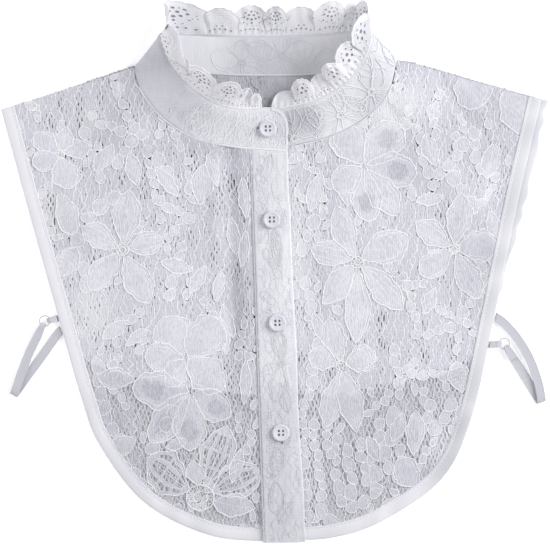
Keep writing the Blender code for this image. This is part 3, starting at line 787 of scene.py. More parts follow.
FLOWERS = [
    Flower(-103, 17, 4.2, (82, 16, 296, 226, 148), (41, 29, 41, 35, 32), (20, 17, 20, 18, 17),
           ("ribbed", "ribbed", "ribbed", "solid", "ribbed")),
    Flower(-61, -57, 0, (115, 46, 180, 322, 233), (32, 35, 28, 33, 24), (27, 28, 21, 25, 17),
           ("solid", "solid", "round", "solid", "leaf")),
    Flower(-58, -80, 0, (178, 228, 264, 328), (40, 44, 40, 31), (26, 21, 23, 21),
           ("sheer", "sheer", "sheer", "sheer")),
    Flower(-53, -152, 9.5, (68, 145, 25, 345, 100), (52, 45, 46, 38, 26), (24, 30, 26, 17, 13),
           ("open", "open", "open", "leaf", "leaf")),
    Flower(-144, 82, 3.0, (137, 283, 200, 20, 75), (23, 24, 20, 22, 20), (14, 20, 15, 14, 13),
           ("solid", "solid", "round", "leaf", "leaf")),
    Flower(56, 6, 4.2, (113, 25, 159, 230, 272, 314), (41, 39, 33, 37, 55, 45), (18, 24, 18, 18, 18, 19),
           ("ribbed", "fan", "ribbed", "leaf", "ribbed", "ribbed")),
    Flower(61, 71, 0, (118, 50, 352, 214, 274, 307), (33, 38, 37, 25, 38, 41), (26, 26, 24, 20, 21, 21),
           ("solid", "sheer", "sheer", "solid", "sheer", "ribbed")),
    Flower(122, 14, 3.6, (78, 142, 8, 218, 294), (38, 32, 30, 29, 38), (18, 17, 22, 18, 18),
           ("ribbed", "ribbed", "round", "solid", "ribbed")),
    Flower(44, -64, 3.6, (106, 18, 156, 256, 286), (34, 25, 24, 43, 47), (17, 19, 17, 17, 18),
           ("ribbed", "fan", "fan", "ribbed", "leaf")),
]
LEAVES = [
    Motif(-50, 46, 82, 29, 16, "ribbed"), Motif(-63, 52, 131, 27, 9, "leaf"),
    Motif(-149, -2, 52, 26, 16, "fan"), Motif(-146, 56, 294, 30, 16, "solid"),
    Motif(-78, 9, 340, 24, 10, "leaf"), Motif(-58, -14, 62, 23, 9, "leaf"),
    Motif(-36, -20, 285, 26, 8, "leaf"), Motif(-96, -72, 173, 26, 15, "fan"),
    Motif(-96, -112, 205, 21, 14, "round"), Motif(-86, -36, 215, 20, 8, "leaf"),
    Motif(-118, -44, 40, 22, 10, "leaf"), Motif(-24, -118, 250, 26, 9, "leaf"),
    Motif(-120, 70, 60, 22, 12, "leaf"), Motif(-92, 60, 100, 24, 11, "leaf"),
    Motif(-30, 40, 280, 28, 9, "ribbed"), Motif(-76, -118, 20, 16, 8, "leaf"),
    Motif(50, 44, 95, 18, 10, "leaf"), Motif(138, 138, 266, 30, 25, "solid"),
    Motif(161, 128, 284, 40, 25, "solid"), Motif(150, 86, 262, 26, 13, "leaf"),
    Motif(92, -126, 83, 31, 13, "ribbed"), Motif(96, -146, 135, 23, 19, "round"),
    Motif(64, -168, 29, 31, 12, "ribbed"), Motif(126, -84, 100, 22, 15, "fan"),
    Motif(24, 40, 75, 30, 11, "leaf"), Motif(26, -26, 285, 26, 8, "leaf"),
    Motif(110, 70, 110, 24, 12, "leaf"), Motif(100, -30, 60, 20, 9, "leaf"),
    Motif(86, -96, 250, 22, 10, "leaf"), Motif(146, 40, 285, 24, 10, "leaf"),
    Motif(96, 46, 10, 20, 9, "leaf"), Motif(60, -112, 300, 20, 9, "leaf"),
    Motif(-21, 66, 272, 30, 8, "leaf"), Motif(-19, 30, 266, 27, 7, "leaf"),
    Motif(-34, -56, 96, 27, 9, "ribbed"), Motif(-20, -58, 268, 32, 8, "leaf"),
    Motif(-44, 82, 284, 24, 8, "leaf"), Motif(-36, 2, 258, 22, 8, "leaf"),
]
CHAINS = [
    Chain(-116, 102, -88, 94, 5), Chain(-104, 76, -92, 98, 4), Chain(-128, 96, -116, 66, 5),
    Chain(-78, 50, -58, 38, 4), Chain(-62, 18, -72, -14, 5),
    Chain(-84, 84, -66, 62, 4), Chain(-112, -36, -92, -26, 4), Chain(-118, -96, -106, -114, 3),
    Chain(-122, -62, -118, -90, 4),
    Chain(-134, 24, -128, -6, 4), Chain(-70, -94, -84, -118, 4), Chain(-126, 40, -108, 52, 3),
    Chain(-102, -130, -88, -146, 4),
    Chain(20, -8, 28, -32, 4), Chain(24, -104, 30, -152, 8), Chain(56, -118, 60, -142, 4),
    Chain(72, -114, 74, -134, 3), Chain(40, -138, 42, -156, 3), Chain(108, 58, 130, 84, 5),
    Chain(122, 62, 134, 44, 3), Chain(128, -30, 136, -16, 3), Chain(96, -44, 118, -40, 4),
    Chain(92, -70, 114, -72, 4), Chain(88, -4, 96, -38, 6), Chain(98, 96, 104, 66, 5),
    Chain(138, 8, 146, -22, 5), Chain(20, 16, 26, 34, 3), Chain(108, -108, 118, -92, 3),
    Chain(80, -54, 84, -84, 5), Chain(44, 92, 62, 100, 3), Chain(30, -40, 22, -84, 6),
    Chain(84, 84, 92, 108, 4), Chain(136, 92, 140, 68, 4), Chain(17, -90, 19, -122, 6),
    Chain(40, -114, 39, -128, 3), Chain(48, -122, 50, -150, 4), Chain(65, -128, 66, -148, 3),
    Chain(70, -104, 66, -121, 3), Chain(79, -100, 77, -113, 2), Chain(33, -104, 35, -124, 4),
    Chain(17, -130, 20, -166, 6), Chain(50, -160, 66, -152, 3), Chain(30, -162, 36, -172, 2),
    Chain(84, -122, 82, -140, 3), Chain(104, -92, 98, -108, 3),
]
CHART = (FLOWERS, LEAVES, CHAINS)
CREASES = [
    Crease(-30, 104, -29, -70, 6.5, -2.8), Crease(-40, 96, -39, 10, 3.0, 0.7),
    Crease(-60, 84, -128, 60, 7.0, 0.9), Crease(-150, 96, -120, -10, 8.0, 0.8),
    Crease(60, 80, 120, 70, 7.0, 0.7), Crease(150, 90, 120, 0, 8.0, 0.8),
    Crease(112, 134, 136, 94, 3.6, -1.0), Crease(123, 134, 148, 98, 4.0, 0.9),
    Crease(74, 116, 92, 92, 3.6, -0.7), Crease(-96, 120, -70, 96, 4.0, -0.7),
    Crease(-110, -20, -60, -90, 9.0, 0.6), Crease(30, 30, 60, -70, 8.0, 0.5),
    Crease(110, -20, 70, -110, 9.0, 0.6),
]

# The outer edges of the bound pieces, in millimetres, from the shoulder down to the middle.
Edge = namedtuple("Edge", "x y")
EDGES = {
    "front_left": [
        Edge(-183.8, 113.8), Edge(-166.9, 46.9), Edge(-148.3, -24.1), Edge(-132.4, -83.5),
        Edge(-120.6, -115.6), Edge(-90.8, -154.9), Edge(-46.8, -177.8), Edge(-2.0, -183.2),
    ],
    "front_right": [
        Edge(183.1, 114.3), Edge(165.3, 42.2), Edge(148.6, -33.3), Edge(131.6, -102.8),
        Edge(110.9, -142.6), Edge(71.0, -169.8), Edge(36.5, -180.8), Edge(-5.0, -182.2),
    ],
    "back_left": [
        Edge(-183.2, 113.6), Edge(-166.3, 46.9), Edge(-147.8, -24.1), Edge(-142.1, -41.7),
        Edge(-129.9, -56.4), Edge(-105.1, -67.3), Edge(-56.3, -78.1), Edge(-1.4, -83.0),
    ],
    "back_right": [
        Edge(187.5, 113.9), Edge(170.4, 42.1), Edge(148.9, -28.9), Edge(143.7, -45.4),
        Edge(131.0, -59.7), Edge(104.9, -70.2), Edge(53.7, -79.9), Edge(-1.4, -83.0),
    ],
}


def curve_at(points, where):
    """A smooth curve through the points, read at these numbers of points along it."""
    points = np.asarray(points, float)
    padded = np.vstack([2 * points[0] - points[1], points, 2 * points[-1] - points[-2]])
    where = np.clip(np.asarray(where, float), 0, len(points) - 1)
    first = np.minimum(where.astype(int), len(points) - 2)
    t = (where - first)[:, None]
    a, b, c, d = (padded[first + i] for i in range(4))
    return 0.5 * (2 * b + (c - a) * t + (2 * a - 5 * b + 4 * c - d) * t**2 + (3 * b - a - 3 * c + d) * t**3)


def along_all(points, count):
    """A smooth curve through all the points, as this many of its own."""
    return curve_at(points, np.linspace(0, len(points) - 1, count))


# Where the back lies under the fronts: inside its hem and sides, and up past the shoulders.
AROUND_BACK = EDGES["back_left"] + EDGES["back_right"][-2::-1]
UNDERLAY = outline(np.vstack([along_all(AROUND_BACK, 160), [[120, 220], [-120, 220]]]))

# The left half of the neck seam, and soft spots of painted shade and painted light on the lace.
LEFT_NECK = np.array([[-93, 133], [-87, 122], [-74, 105], [-53, 91.5], [-27.5, 85.7]])
Shade = namedtuple("Shade", "x y half_x half_y grey")
SHADES = [
    Shade(78, 106, 17, 16, -0.5), Shade(-124, -24, 15, 26, -0.4), Shade(134, 2, 15, 28, 0.35),
    Shade(14, 10, 7, 70, -0.4), Shade(-99, 112, 11, 17, 0.4), Shade(-131, 28, 10, 14, 0.3),
    Shade(-121, 110, 11, 10, -0.4), Shade(-152, 48, 9, 26, -0.3), Shade(92, 118, 24, 18, -0.35),
    Shade(112, -122, 10, 14, -0.5), Shade(146, 4, 9, 26, 0.35), Shade(-70, 84, 30, 8, 0.25),
]


# How much painted shade one layer of lace takes against two, and the weight of the trough's and the neck's
# painted shade.
THIN = 0.36


def soft_spot(x, y, at_x, at_y, half_x, half_y):
    """One at this place of the plan, fading out around it."""
    return np.exp(-(((x - at_x) / half_x) ** 2) - ((y - at_y) / half_y) ** 2)


def paint_lace_shade(mesh):
    """Painted shade where no back panel lies below, in the trough beside the placket, at the right
    shoulder and beside the neck at the left, with a few spots of painted light and shade between."""
    spots = spots_of(mesh)[:, :2]
    x, y = spots.T
    trough = np.exp(-((x + 25) / 9) ** 2) * smooth((y + 110) / 60) * (x < -9)
    single = 1.0 - within(UNDERLAY, np.column_stack([x, y + 3 * smooth((x - 20) / 20)]))
    shoulder = 0.22 * smooth((x - 60) / 30) * smooth((y - 50) / 40)
    # On the placket, painted shade that grows towards the hem and at the left fold.
    if mesh.name.startswith("placket"):
        single = 0.75 + smooth((-66 - y + 5 * np.sin(x / 3)) / 30) + 0.7 * (1 - smooth((x + 15) / 8))
    single = THIN * single - 0.22 * single * soft_spot(x, y, 20, -124, 11, 60)
    if mesh.name.startswith("cords"):
        single -= 0.25 * (x > 12) * (single > 0)
    steps = np.linspace(0, len(LEFT_NECK) - 1, 50)
    line = np.column_stack([np.interp(steps, range(len(LEFT_NECK)), LEFT_NECK[:, k]) for k in (0, 1)])
    away = np.min([np.hypot(*(spots - at).T) for at in line], axis=0)
    beside_neck = THIN * (1 - smooth(away / 15))
    spread = sum(shade.grey * soft_spot(x, y, *shade[:4]) for shade in SHADES)
    set_painted_shading(mesh, single + THIN * trough + shoulder + beside_neck + spread)


def build_panel(node, box, chart, seed, creases=(), stuff=(YARN, CORD, FILL)):
    """The lace and the cords of one panel, on its solid's upper face."""
    surface = flat_surface(node, creases)
    lace, raised = lay_lace(surface, box, chart, seed, stuff=stuff)
    # Painted shade: the back greyer towards its top, where the neck opening shows it, and the fronts by where
    # they lie.
    for mesh in (lace, raised):
        if node == "back":
            set_painted_shading(mesh, 0.34 * smooth((spots_of(mesh)[:, 1] - 92) / 14))
        else:
            paint_lace_shade(mesh)
    cloth = add_piece(node + "_lace", lace, [node])
    cords = add_piece(node + "_cords", raised)
    return surface, cloth, cords


left_panel, left_lace, left_cords = build_panel(
    "front_left", ((-180, -180), (-8, 145)), CHART, 3, CREASES
)
right_panel, right_lace, right_cords = build_panel(
    "front_right", ((-14, -180), (178, 145)), CHART, 4, CREASES
)


# --- Back panel -----------------------------------------------------------------------------
# One layer of the same lace under the fronts, shorter, with its wrong side up: its chart is
# the fronts' one mirrored and moved.

ASIDE, HIGHER = 9, 22
BACK_CHART = (
    [f._replace(x=-f.x + ASIDE, y=f.y + HIGHER, turns=tuple(180 - t for t in f.turns)) for f in FLOWERS],
    [m._replace(x=-m.x + ASIDE, y=m.y + HIGHER, heading=180 - m.heading) for m in LEAVES],
    [
        Chain(-c.from_x + ASIDE, c.from_y + HIGHER, -c.to_x + ASIDE, c.to_y + HIGHER, c.pebbles)
        for c in CHAINS
    ],
)
# The back's lace and cords are duller and darker than the fronts': partly the wrong side's own tone, partly
# painted shade for where the neck opening shows it.
WRONG = cloth_material(
    "lace_wrong_side_painted_shade", "#d9d9df", "#b9b9c1", 0.95, 0.05, "X", 0.0014, 0.4, 3.0, streak=(0.0016, 0.012)
)
WRONG_CORD = cloth_material("lace_wrong_side_cord", "#d4d4da", "#c4c4cb", 0.9, 0.05, "Y", 0.0006, 0.05)
WRONG_SIDE = (WRONG, WRONG_CORD, WRONG)
back_panel, back_lace, back_cords = build_panel(
    "back", ((-182, -80), (184, 142)), BACK_CHART, 9, stuff=WRONG_SIDE
)


# --- Bindings -------------------------------------------------------------------------------
# Bias strips of plain cotton, about 9 mm wide when folded, wrapped round each panel's side and
# hem and held by one row of stitches along their inner edge.

COTTON = cloth_material(
    "plain_cotton_bias_binding", "#f6f6f9", "#ececf1", 0.85, 0.15, "X", 0.0007, 0.03, 0.5, 0.0007
)
THREAD = cloth_material("white_sewing_thread", "#ffffff", "#f2f2f8", 0.6, 0.2, "X", 0.0005, 0.02)


def length_along(line):
    """How far along a polyline each of its points lies."""
    return np.concatenate([[0.0], np.cumsum(np.linalg.norm(np.diff(line, axis=0), axis=1))])


def evenly(line, pace):
    """A polyline's points at an even pace along it."""
    along = length_along(line)
    at = np.linspace(0, along[-1], max(2, round(along[-1] / pace)))
    return np.stack([np.interp(at, along, line[:, k]) for k in range(line.shape[1])], axis=1)


def wall_mesh(name, top, bottom, material):
    """A closed wall of cloth between two grids of places in millimetres."""
    rings = np.concatenate([top, bottom[:, ::-1]], axis=1) * MM
    rows, around = rings.shape[:2]
    number = np.arange(rows * around).reshape(rows, around)
    turned = np.roll(number, -1, axis=1)
    quads = np.stack([number[:-1], turned[:-1], turned[1:], number[1:]], axis=-1).reshape(-1, 4).tolist()
    half = around // 2
    for row in (0, rows - 1):
        ring = number[row]
        quads += [
            [ring[i], ring[i + 1], ring[around - 2 - i], ring[around - 1 - i]] for i in range(half - 1)
        ]
    mesh = bpy.data.meshes.new(name)
    mesh.from_pydata(rings.reshape(-1, 3).tolist(), [], quads)
    build = bmesh.new()
    build.from_mesh(mesh)
    bmesh.ops.remove_doubles(build, verts=build.verts, dist=0.000005)
    bmesh.ops.recalc_face_normals(build, faces=build.faces)
    build.to_mesh(mesh)
    build.free()
    mesh.shade_smooth()
    mesh.materials.append(material)
    return mesh


def stitch_tree():
    """Short stitches at an even pitch along each line of a mesh."""
    tree, given = group("stitches_along_lines", [
        ("Pitch", "NodeSocketFloat"), ("Length", "NodeSocketFloat"), ("Girth", "NodeSocketFloat"),
        ("Material", "NodeSocketMaterial"),
    ])
    lines = add(tree, "GeometryNodeMeshToCurve", Mesh=given["Geometry"])
    spots = add(
        tree, "GeometryNodeCurveToPoints", {"mode": "LENGTH"}, Curve=lines.outputs[0], Length=given["Pitch"]
    )
    ball = add(tree, "GeometryNodeMeshUVSphere", Segments=6, Rings=5, Radius=0.5)
    size = add(tree, "ShaderNodeCombineXYZ", X=given["Girth"], Y=given["Girth"], Z=given["Length"])
    placed = add(
        tree, "GeometryNodeInstanceOnPoints", Points=spots.outputs["Points"], Instance=ball.outputs["Mesh"],
        Rotation=spots.outputs["Rotation"], Scale=size.outputs[0],
    )
    return finish_tree(tree, given, placed.outputs[0])


STITCHES = stitch_tree()
STITCH_PITCH, STITCH_LENGTH, STITCH_GIRTH = 2.6, 2.1, 0.42


def stitching(name, lines):
    """Rows of stitches along places in millimetres, as one piece."""
    lines = [evenly(line, 1.5) * MM for line in lines]
    rows = lines_mesh([(line, (0.0, 0.0, 0.0), 0.0, False) for line in lines])
    mesh = run_tree(
        name, rows, STITCHES, Pitch=STITCH_PITCH * MM, Length=STITCH_LENGTH * MM,
        Girth=STITCH_GIRTH * MM, Material=THREAD,
    )
    return add_piece(name, mesh)


# Across the strip from its folded outer edge: how far in, and how high above its resting face.
Fold = namedtuple("Fold", "inward top")
BINDING_FOLD = [
    Fold(0.0, 0.75), Fold(0.12, 1.1), Fold(0.5, 1.42), Fold(1.2, 1.6), Fold(2.8, 1.78), Fold(4.6, 1.78),
    Fold(6.1, 1.62), Fold(7.1, 1.44), Fold(7.7, 1.62), Fold(8.5, 1.86), Fold(9.0, 1.7), Fold(9.15, 1.3),
]
BINDING_PACE, STITCHED_AT = 1.3, 7.1


def build_binding(word, edge, side, rest, stop):
    """One binding along an edge, its strip and its row of stitches. side is -1 where the
    garment lies to the edge's right, and the strip ends at the x of stop, if there is one."""
    line = evenly(along_all(edge, 400), BINDING_PACE)
    if stop is not None:
        line = line[line[:, 0] * side > stop * side]
    along = unit(np.gradient(line, axis=0))
    inward = np.column_stack([-along[:, 1], along[:, 0]]) * (-side)
    run = np.arange(len(line)) * BINDING_PACE
    puff = 0.16 * np.sin(run / 5.1) + 0.10 * np.sin(run / 2.3 + 1) + 0.12 * np.sin(run / 13.0 + 2)
    top, bottom = [], []
    level = rest(line)
    # The back's right side, slack, waves along its folded edge.
    wave = 0.75 * np.sin(run / 3.4 + 1.8 * np.sin(run / 11.0)) * ((line[:, 0] > 125) & (word == "back"))
    for fold in BINDING_FOLD:
        plan = line + inward * (fold.inward + wave * max(1 - fold.inward / 5, 0))[:, None]
        crown = 1 + 0.1 * puff * (1.0 < fold.inward < 8.8)
        top.append(np.column_stack([plan, level + fold.top * crown]))
        bottom.append(np.column_stack([plan, level + (0.35 if 0.1 < fold.inward < 9.1 else 0.7)]))
    mesh = wall_mesh(word + "_binding_strip", np.stack(top, 1), np.stack(bottom, 1), COTTON)
    # Painted shade: greyer at the hem and the far left and most on the right, with painted wrinkle shade in
    # bands.
    x, y, _ = spots_of(mesh).T
    wrinkle_shade = 0.12 * np.sin(y / 6.1 + 1.3 * np.sin(y / 17)) * (x > 60)
    wrinkle_shade += 0.1 * np.sin(x / 4.3 + 1.6 * np.sin(x / 11)) * (y < -90)
    hem = 0.26 * smooth((-60 - y) / 60) + 0.1 * (x < -120)
    set_painted_shading(mesh, hem + 0.42 * smooth((x - 90) / 30) + wrinkle_shade)
    strip = add_piece(word + "_binding_strip", mesh, [word + "_binding"])
    return strip, np.column_stack([line + inward * STITCHED_AT, level + 1.5 + 0.03 * puff])


def settle(line):
    """The front's binding rests on the back's down to its hem and then on the surface."""
    return 1.8 * (1 - smooth((-74.0 - line[:, 1]) / 32.0))


def lying(line):
    """The back's binding lies on the surface all along."""
    return np.zeros(len(line))


rows, strips = [], {}
for place, word, edge, side, rest, stop in (
    ("left", "front_left", EDGES["front_left"], -1, settle, -10.6),
    ("right", "front_right", EDGES["front_right"], 1, settle, None),
    ("back", "back", AROUND_BACK, -1, lying, None),
):
    strips[place], row = build_binding(word, edge, side, rest, stop)
    rows.append(row)
binding_rows = stitching("binding_stitches", rows)


# --- Placket --------------------------------------------------------------------------------
# A folded band of the lace, two layers thick, that carries the buttonholes. Both of its long
# edges are pressed folds, and it laps over the right front.

INNER = cloth_material(
    "lace_over_inner_layer", "#f3f4f8", "#e6e7ed", 0.9, 0.1, "Y", 0.0022, 0.08, 5.0, streak=(0.0035, 0.007)
)
Band = namedtuple("Band", "y width top")
PLACKET = [
    Band(82.0, 24.7, 6.1), Band(60.0, 25.0, 5.6), Band(30.0, 25.3, 5.3), Band(-32.4, 26.2, 5.2),
    Band(-95.9, 26.6, 5.2), Band(-156.0, 27.9, 5.2), Band(-176.0, 28.3, 3.4), Band(-183.2, 28.4, 3.4),
]
NECK_X, NECK_Y, HEM_X, HEM_Y = -14.8, 84.3, -10.0, -183.1
placket_surface = flat_surface("placket")
placket_levels = along_all(PLACKET, 190)
left_at = NECK_X + (HEM_X - NECK_X) * (NECK_Y - placket_levels[:, 0]) / (NECK_Y - HEM_Y)
# Across the band from its left fold: the share of its width, and the lift of its face there.
band_shares, band_lift = np.array([
    (0, -0.8), (0.006, -0.5), (0.02, -0.12), (0.045, 0.12), (0.08, 0.05), (0.14, -0.12), (0.25, -0.18),
    (0.4, -0.18), (0.55, -0.18), (0.7, -0.16), (0.8, -0.05), (0.86, -0.16), (0.92, -0.1), (0.955, 0.22),
    (0.98, 0.2), (0.994, -0.3), (1, -0.8),
]).T
ripple = np.arange(len(left_at)) * 1.4
waver = 0.25 * np.sin(ripple / 9)
band_x = left_at[:, None] + placket_levels[:, 1:2] * band_shares + waver[:, None] * band_shares
band_y = np.broadcast_to(placket_levels[:, :1], band_x.shape).copy()
band_y += 2.4 * smooth((band_y - 72.0) / 10.0)
chart = np.stack([band_x, band_y], axis=2)
wave = 0.12 * np.sin(ripple / 6.0)[:, None] * np.sin(band_shares * 9)[None]
top = placket_surface.place(chart.reshape(-1, 2)).reshape(*chart.shape[:2], 3)
bottom = top.copy()
top[..., 2] += band_lift + wave
bottom[..., 2] -= np.where((band_shares > 0) & (band_shares < 1), 1.55, 0.9)
band_mesh = wall_mesh("placket_band", top, bottom, INNER)
# Painted shade on the placket band, as on the fronts' lace.
paint_lace_shade(band_mesh)
placket_band = add_piece("placket_band", band_mesh, ["placket"])
BAND_CHART = (
    [Flower(4, -62, 2.4, (95, 40, 260, 200), (24, 14, 26, 15), (11, 8, 12, 8),
            ("ribbed", "leaf", "solid", "leaf")),
     Flower(-2, -140, 0, (80, 130, 275), (22, 14, 24), (10, 8, 11), ("fan", "leaf", "solid"))],
    [Motif(-10, 20, 75, 24, 7, "leaf"), Motif(4, 4, 100, 26, 8, "ribbed"), Motif(-4, -24, 240, 20, 7, "leaf"),
     Motif(-6, 60, 80, 22, 7, "leaf"), Motif(8, -96, 100, 22, 8, "leaf"), Motif(0, -170, 60, 18, 8, "leaf")],
    [Chain(-9, 44, -6, 26, 3), Chain(5, 28, 4, 40, 3), Chain(-8, -30, -5, -50, 4), Chain(8, -30, 9, -48, 3)],
)
band_lace_surface = Surface(
    placket_surface.low, placket_surface.step, placket_surface.spots + [0, 0, 0.05],
    outline(np.vstack([
        np.column_stack([left_at + 0.8, placket_levels[:, 0]]),
        np.column_stack([left_at + placket_levels[:, 1] - 0.8, placket_levels[:, 0]])[::-1],
    ])),
)
PRESSED = (INNER, LOW_CORD, None)
band_lace, band_cords = lay_lace(
    band_lace_surface, ((-14, -182), (19, 86)), BAND_CHART, 12, 1.2, 0.6, 50, PRESSED
)
band_pattern = joined("placket_lace", [band_lace, band_cords])
# Painted shade on the placket's lace too.
paint_lace_shade(band_pattern)
placket_lace = add_piece("placket_lace", band_pattern)


# --- Stand ----------------------------------------------------------------------------------
# An upright band of the lace over an inner layer, about 27 mm high. It wraps round the neck
# from the over end, past both side folds and across the back, to the under end.

STAND_WALL = 1.6
Section = namedtuple("Section", "base_x base_y base_z top_x top_y top_z lean")
STAND = {
    "over_end": Section(10.2, 82.4, 6.1, 10.6, 110.7, 8.1, 18),
    "over_button": Section(-5.7, 83.6, 6.1, -4.7, 111.0, 8.3, 18),
    "left_front": Section(-27.5, 85.7, 6.4, -21.7, 110.8, 9.6, 20),
    "left_bend": Section(-52.6, 91.5, 8, -40.6, 115.6, 12.5, 26),
    "left_side": Section(-74.1, 105.2, 10.6, -57.4, 128.2, 16.5, 34),
    "left_cheek": Section(-87.4, 121.9, 12, -68.1, 141.2, 19, 38),
    "left_roll": Section(-92.0, 133.0, 10.8, -73.3, 152.7, 17.5, 30),
    "left_fold": Section(-92.6, 141.6, 5.6, -75.6, 161.9, 10, 12),
    "left_under": Section(-85.7, 140.9, 1.2, -70.8, 163.7, 3, -6),
    "left_back": Section(-67.7, 137.9, 0, -58.2, 162.5, 0, -12),
    "mid_left": Section(-40.3, 134.9, 0, -37.9, 161.8, 0, -12),
    "centre_back": Section(-2.2, 133.5, 0, -1.8, 161.0, 0, -12),
    "mid_right": Section(36.5, 134.0, 0, 33.6, 161.3, 0, -12),
    "right_back": Section(61.8, 138.0, 0, 51.7, 162.2, 0, -12),
    "right_under": Section(78.4, 142.7, 1.2, 63.7, 163.3, 3, -6),
    "right_fold": Section(84.7, 144.1, 5.6, 68.3, 162.1, 10, 12),
    "right_roll": Section(84.2, 135.6, 10.6, 67.5, 153.4, 17.5, 30),
    "right_cheek": Section(80.5, 123.2, 12, 63.4, 143.2, 18.5, 36),
    "right_side": Section(72.3, 110.8, 10.4, 54.7, 130.6, 16, 32),
    "right_bend": Section(56.1, 98.6, 7.8, 42.5, 121.8, 12, 26),
    "right_front": Section(34.5, 89.7, 5.4, 26.9, 114.9, 8.6, 18),
    "under_button": Section(3.1, 83.4, 3.9, 2.1, 110.4, 5.9, 4),
    "under_end": Section(-12.6, 83.0, 3.8, -13.2, 110.2, 5.7, 0),
}
END_CORNER = 8.5


def stand_edges(where):
    """The outer face's base and top edge at these section numbers."""
    base = curve_at([s[:3] for s in STAND.values()], where)
    top = curve_at([s[3:6] for s in STAND.values()], where)
    base[:, 2] = np.maximum(base[:, 2], 0.0)
    top[:, 2] = np.maximum(top[:, 2], 0.0)
    return base, top


def stand_directions(base, top):
    """Up the stand, out from its outer face, and its height."""
    up = top - base
    height = np.linalg.norm(up, axis=1)
    up = up / height[:, None]
    return up, unit(np.cross(up, np.gradient(top, axis=0))), height


# The stand's chart: s runs along its middle from the over end, h up from the neck seam. Its
# top edge falls off in a round corner at the over end.
stations = np.linspace(0, len(STAND) - 1, 700)
base_line, top_line = stand_edges(stations)
middle_line = (base_line + top_line) / 2
stand_along = length_along(middle_line)
STAND_LENGTH = stand_along[-1]
STAND_STEP = 1.5
s_grid = np.arange(0, STAND_LENGTH + STAND_STEP, STAND_STEP)
where_at = np.interp(s_grid, stand_along, stations)
base_s, top_s = stand_edges(where_at)
up_s, out_s, height_s = stand_directions(base_s, top_s)
into = np.clip(END_CORNER - length_along(top_s), 0, END_CORNER)
reach_s = height_s - (END_CORNER - np.sqrt(END_CORNER**2 - into**2))
h_grid = np.arange(-STAND_STEP, 33, STAND_STEP)
stand_spots = base_s[:, None] + up_s[:, None] * h_grid[:, None]
# Soft dents, and one swelling of negative depth: how far along and up the stand each lies.
Dent = namedtuple("Dent", "along up half_along half_up depth")
DENTS = [
    Dent(52, 12, 16, 9, 0.9), Dent(92, 16, 12, 10, 1.1), Dent(22, 8, 9, 5, 0.5),
    Dent(352, 14, 12, 9, 1.0), Dent(400, 15, 16, 8, 0.8), Dent(372, 22, 9, 4, -0.7),
    Dent(190, 12, 26, 7, 0.35), Dent(262, 16, 20, 8, 0.4),
]
dent = sum(
    d.depth * np.exp(
        -(((s_grid[:, None] - d.along) / d.half_along) ** 2) - ((h_grid - d.up) / d.half_up) ** 2
    ) for d in DENTS
)
stand_spots = stand_spots - out_s[:, None] * dent[..., None]
stand_rim = outline(np.vstack([
    np.column_stack([s_grid, np.full(len(s_grid), 0.9)]), np.column_stack([s_grid, reach_s - 0.6])[::-1]
]))
stand_low, stand_step = (0, h_grid[0]), (STAND_STEP, STAND_STEP)
stand_face = Surface(stand_low, stand_step, stand_spots, stand_rim, -1)
stand_back = Surface(stand_low, stand_step, stand_spots - out_s[:, None] * STAND_WALL, stand_rim)
# Up the band: the share of its height, and how far its wall lies in from its face there.
heights, edge_fall = np.array([
    (0.0, 0.75), (0.01, 0.35), (0.04, 0.05), (0.1, 0.42), (0.2, 0.5), (0.32, 0.5), (0.45, 0.5),
    (0.6, 0.5), (0.72, 0.5), (0.83, 0.45), (0.9, 0.38), (0.96, 0.05), (0.99, 0.3), (1.0, 0.75),
]).T
h_rows = 0.5 + (reach_s - 0.5)[:, None] * heights
end_fall = np.clip(1 - np.minimum(s_grid, STAND_LENGTH - s_grid) / 1.2, 0, 1)
chart = np.stack([np.broadcast_to(s_grid[:, None], h_rows.shape), h_rows], axis=2).reshape(-1, 2)
fall = np.maximum(edge_fall, 0.75 * end_fall[:, None])
outside = stand_face.place(chart, -fall.ravel()).reshape(*h_rows.shape, 3)
inside_fall = np.where(heights * (1 - heights) > 0, 0.0, 0.75) + 0.7 * end_fall[:, None]
inside = stand_back.place(chart, -np.minimum(inside_fall, 0.8).ravel()).reshape(*h_rows.shape, 3)
band_wall = wall_mesh("stand_band", outside, inside, INNER)
stand_shell = add_piece("stand_band", band_wall, ["stand"])


def paint_stand_shade(mesh):
    """Painted shade: greyer on the front, the flanks and the back, turned from the window, at the right, and
    most on the under end.
    """
    x, y, _ = spots_of(mesh).T
    flank = smooth((-18 - x) / 44) * smooth((y - 70) / 40)
    front = 0.32 * (1 - smooth((x - 2) / 40))
    back = smooth((y - 132) / 8) * smooth((x + 58) / 12) * smooth((62 - x) / 10)
    right = 0.45 * smooth((x - 52) / 14)
    under_end = 0.8 * soft_spot(x, y, 22, 104, 15, 16)
    set_painted_shading(mesh, front + 0.45 * flank + 0.4 * back + right + under_end)


paint_stand_shade(stand_shell.data)

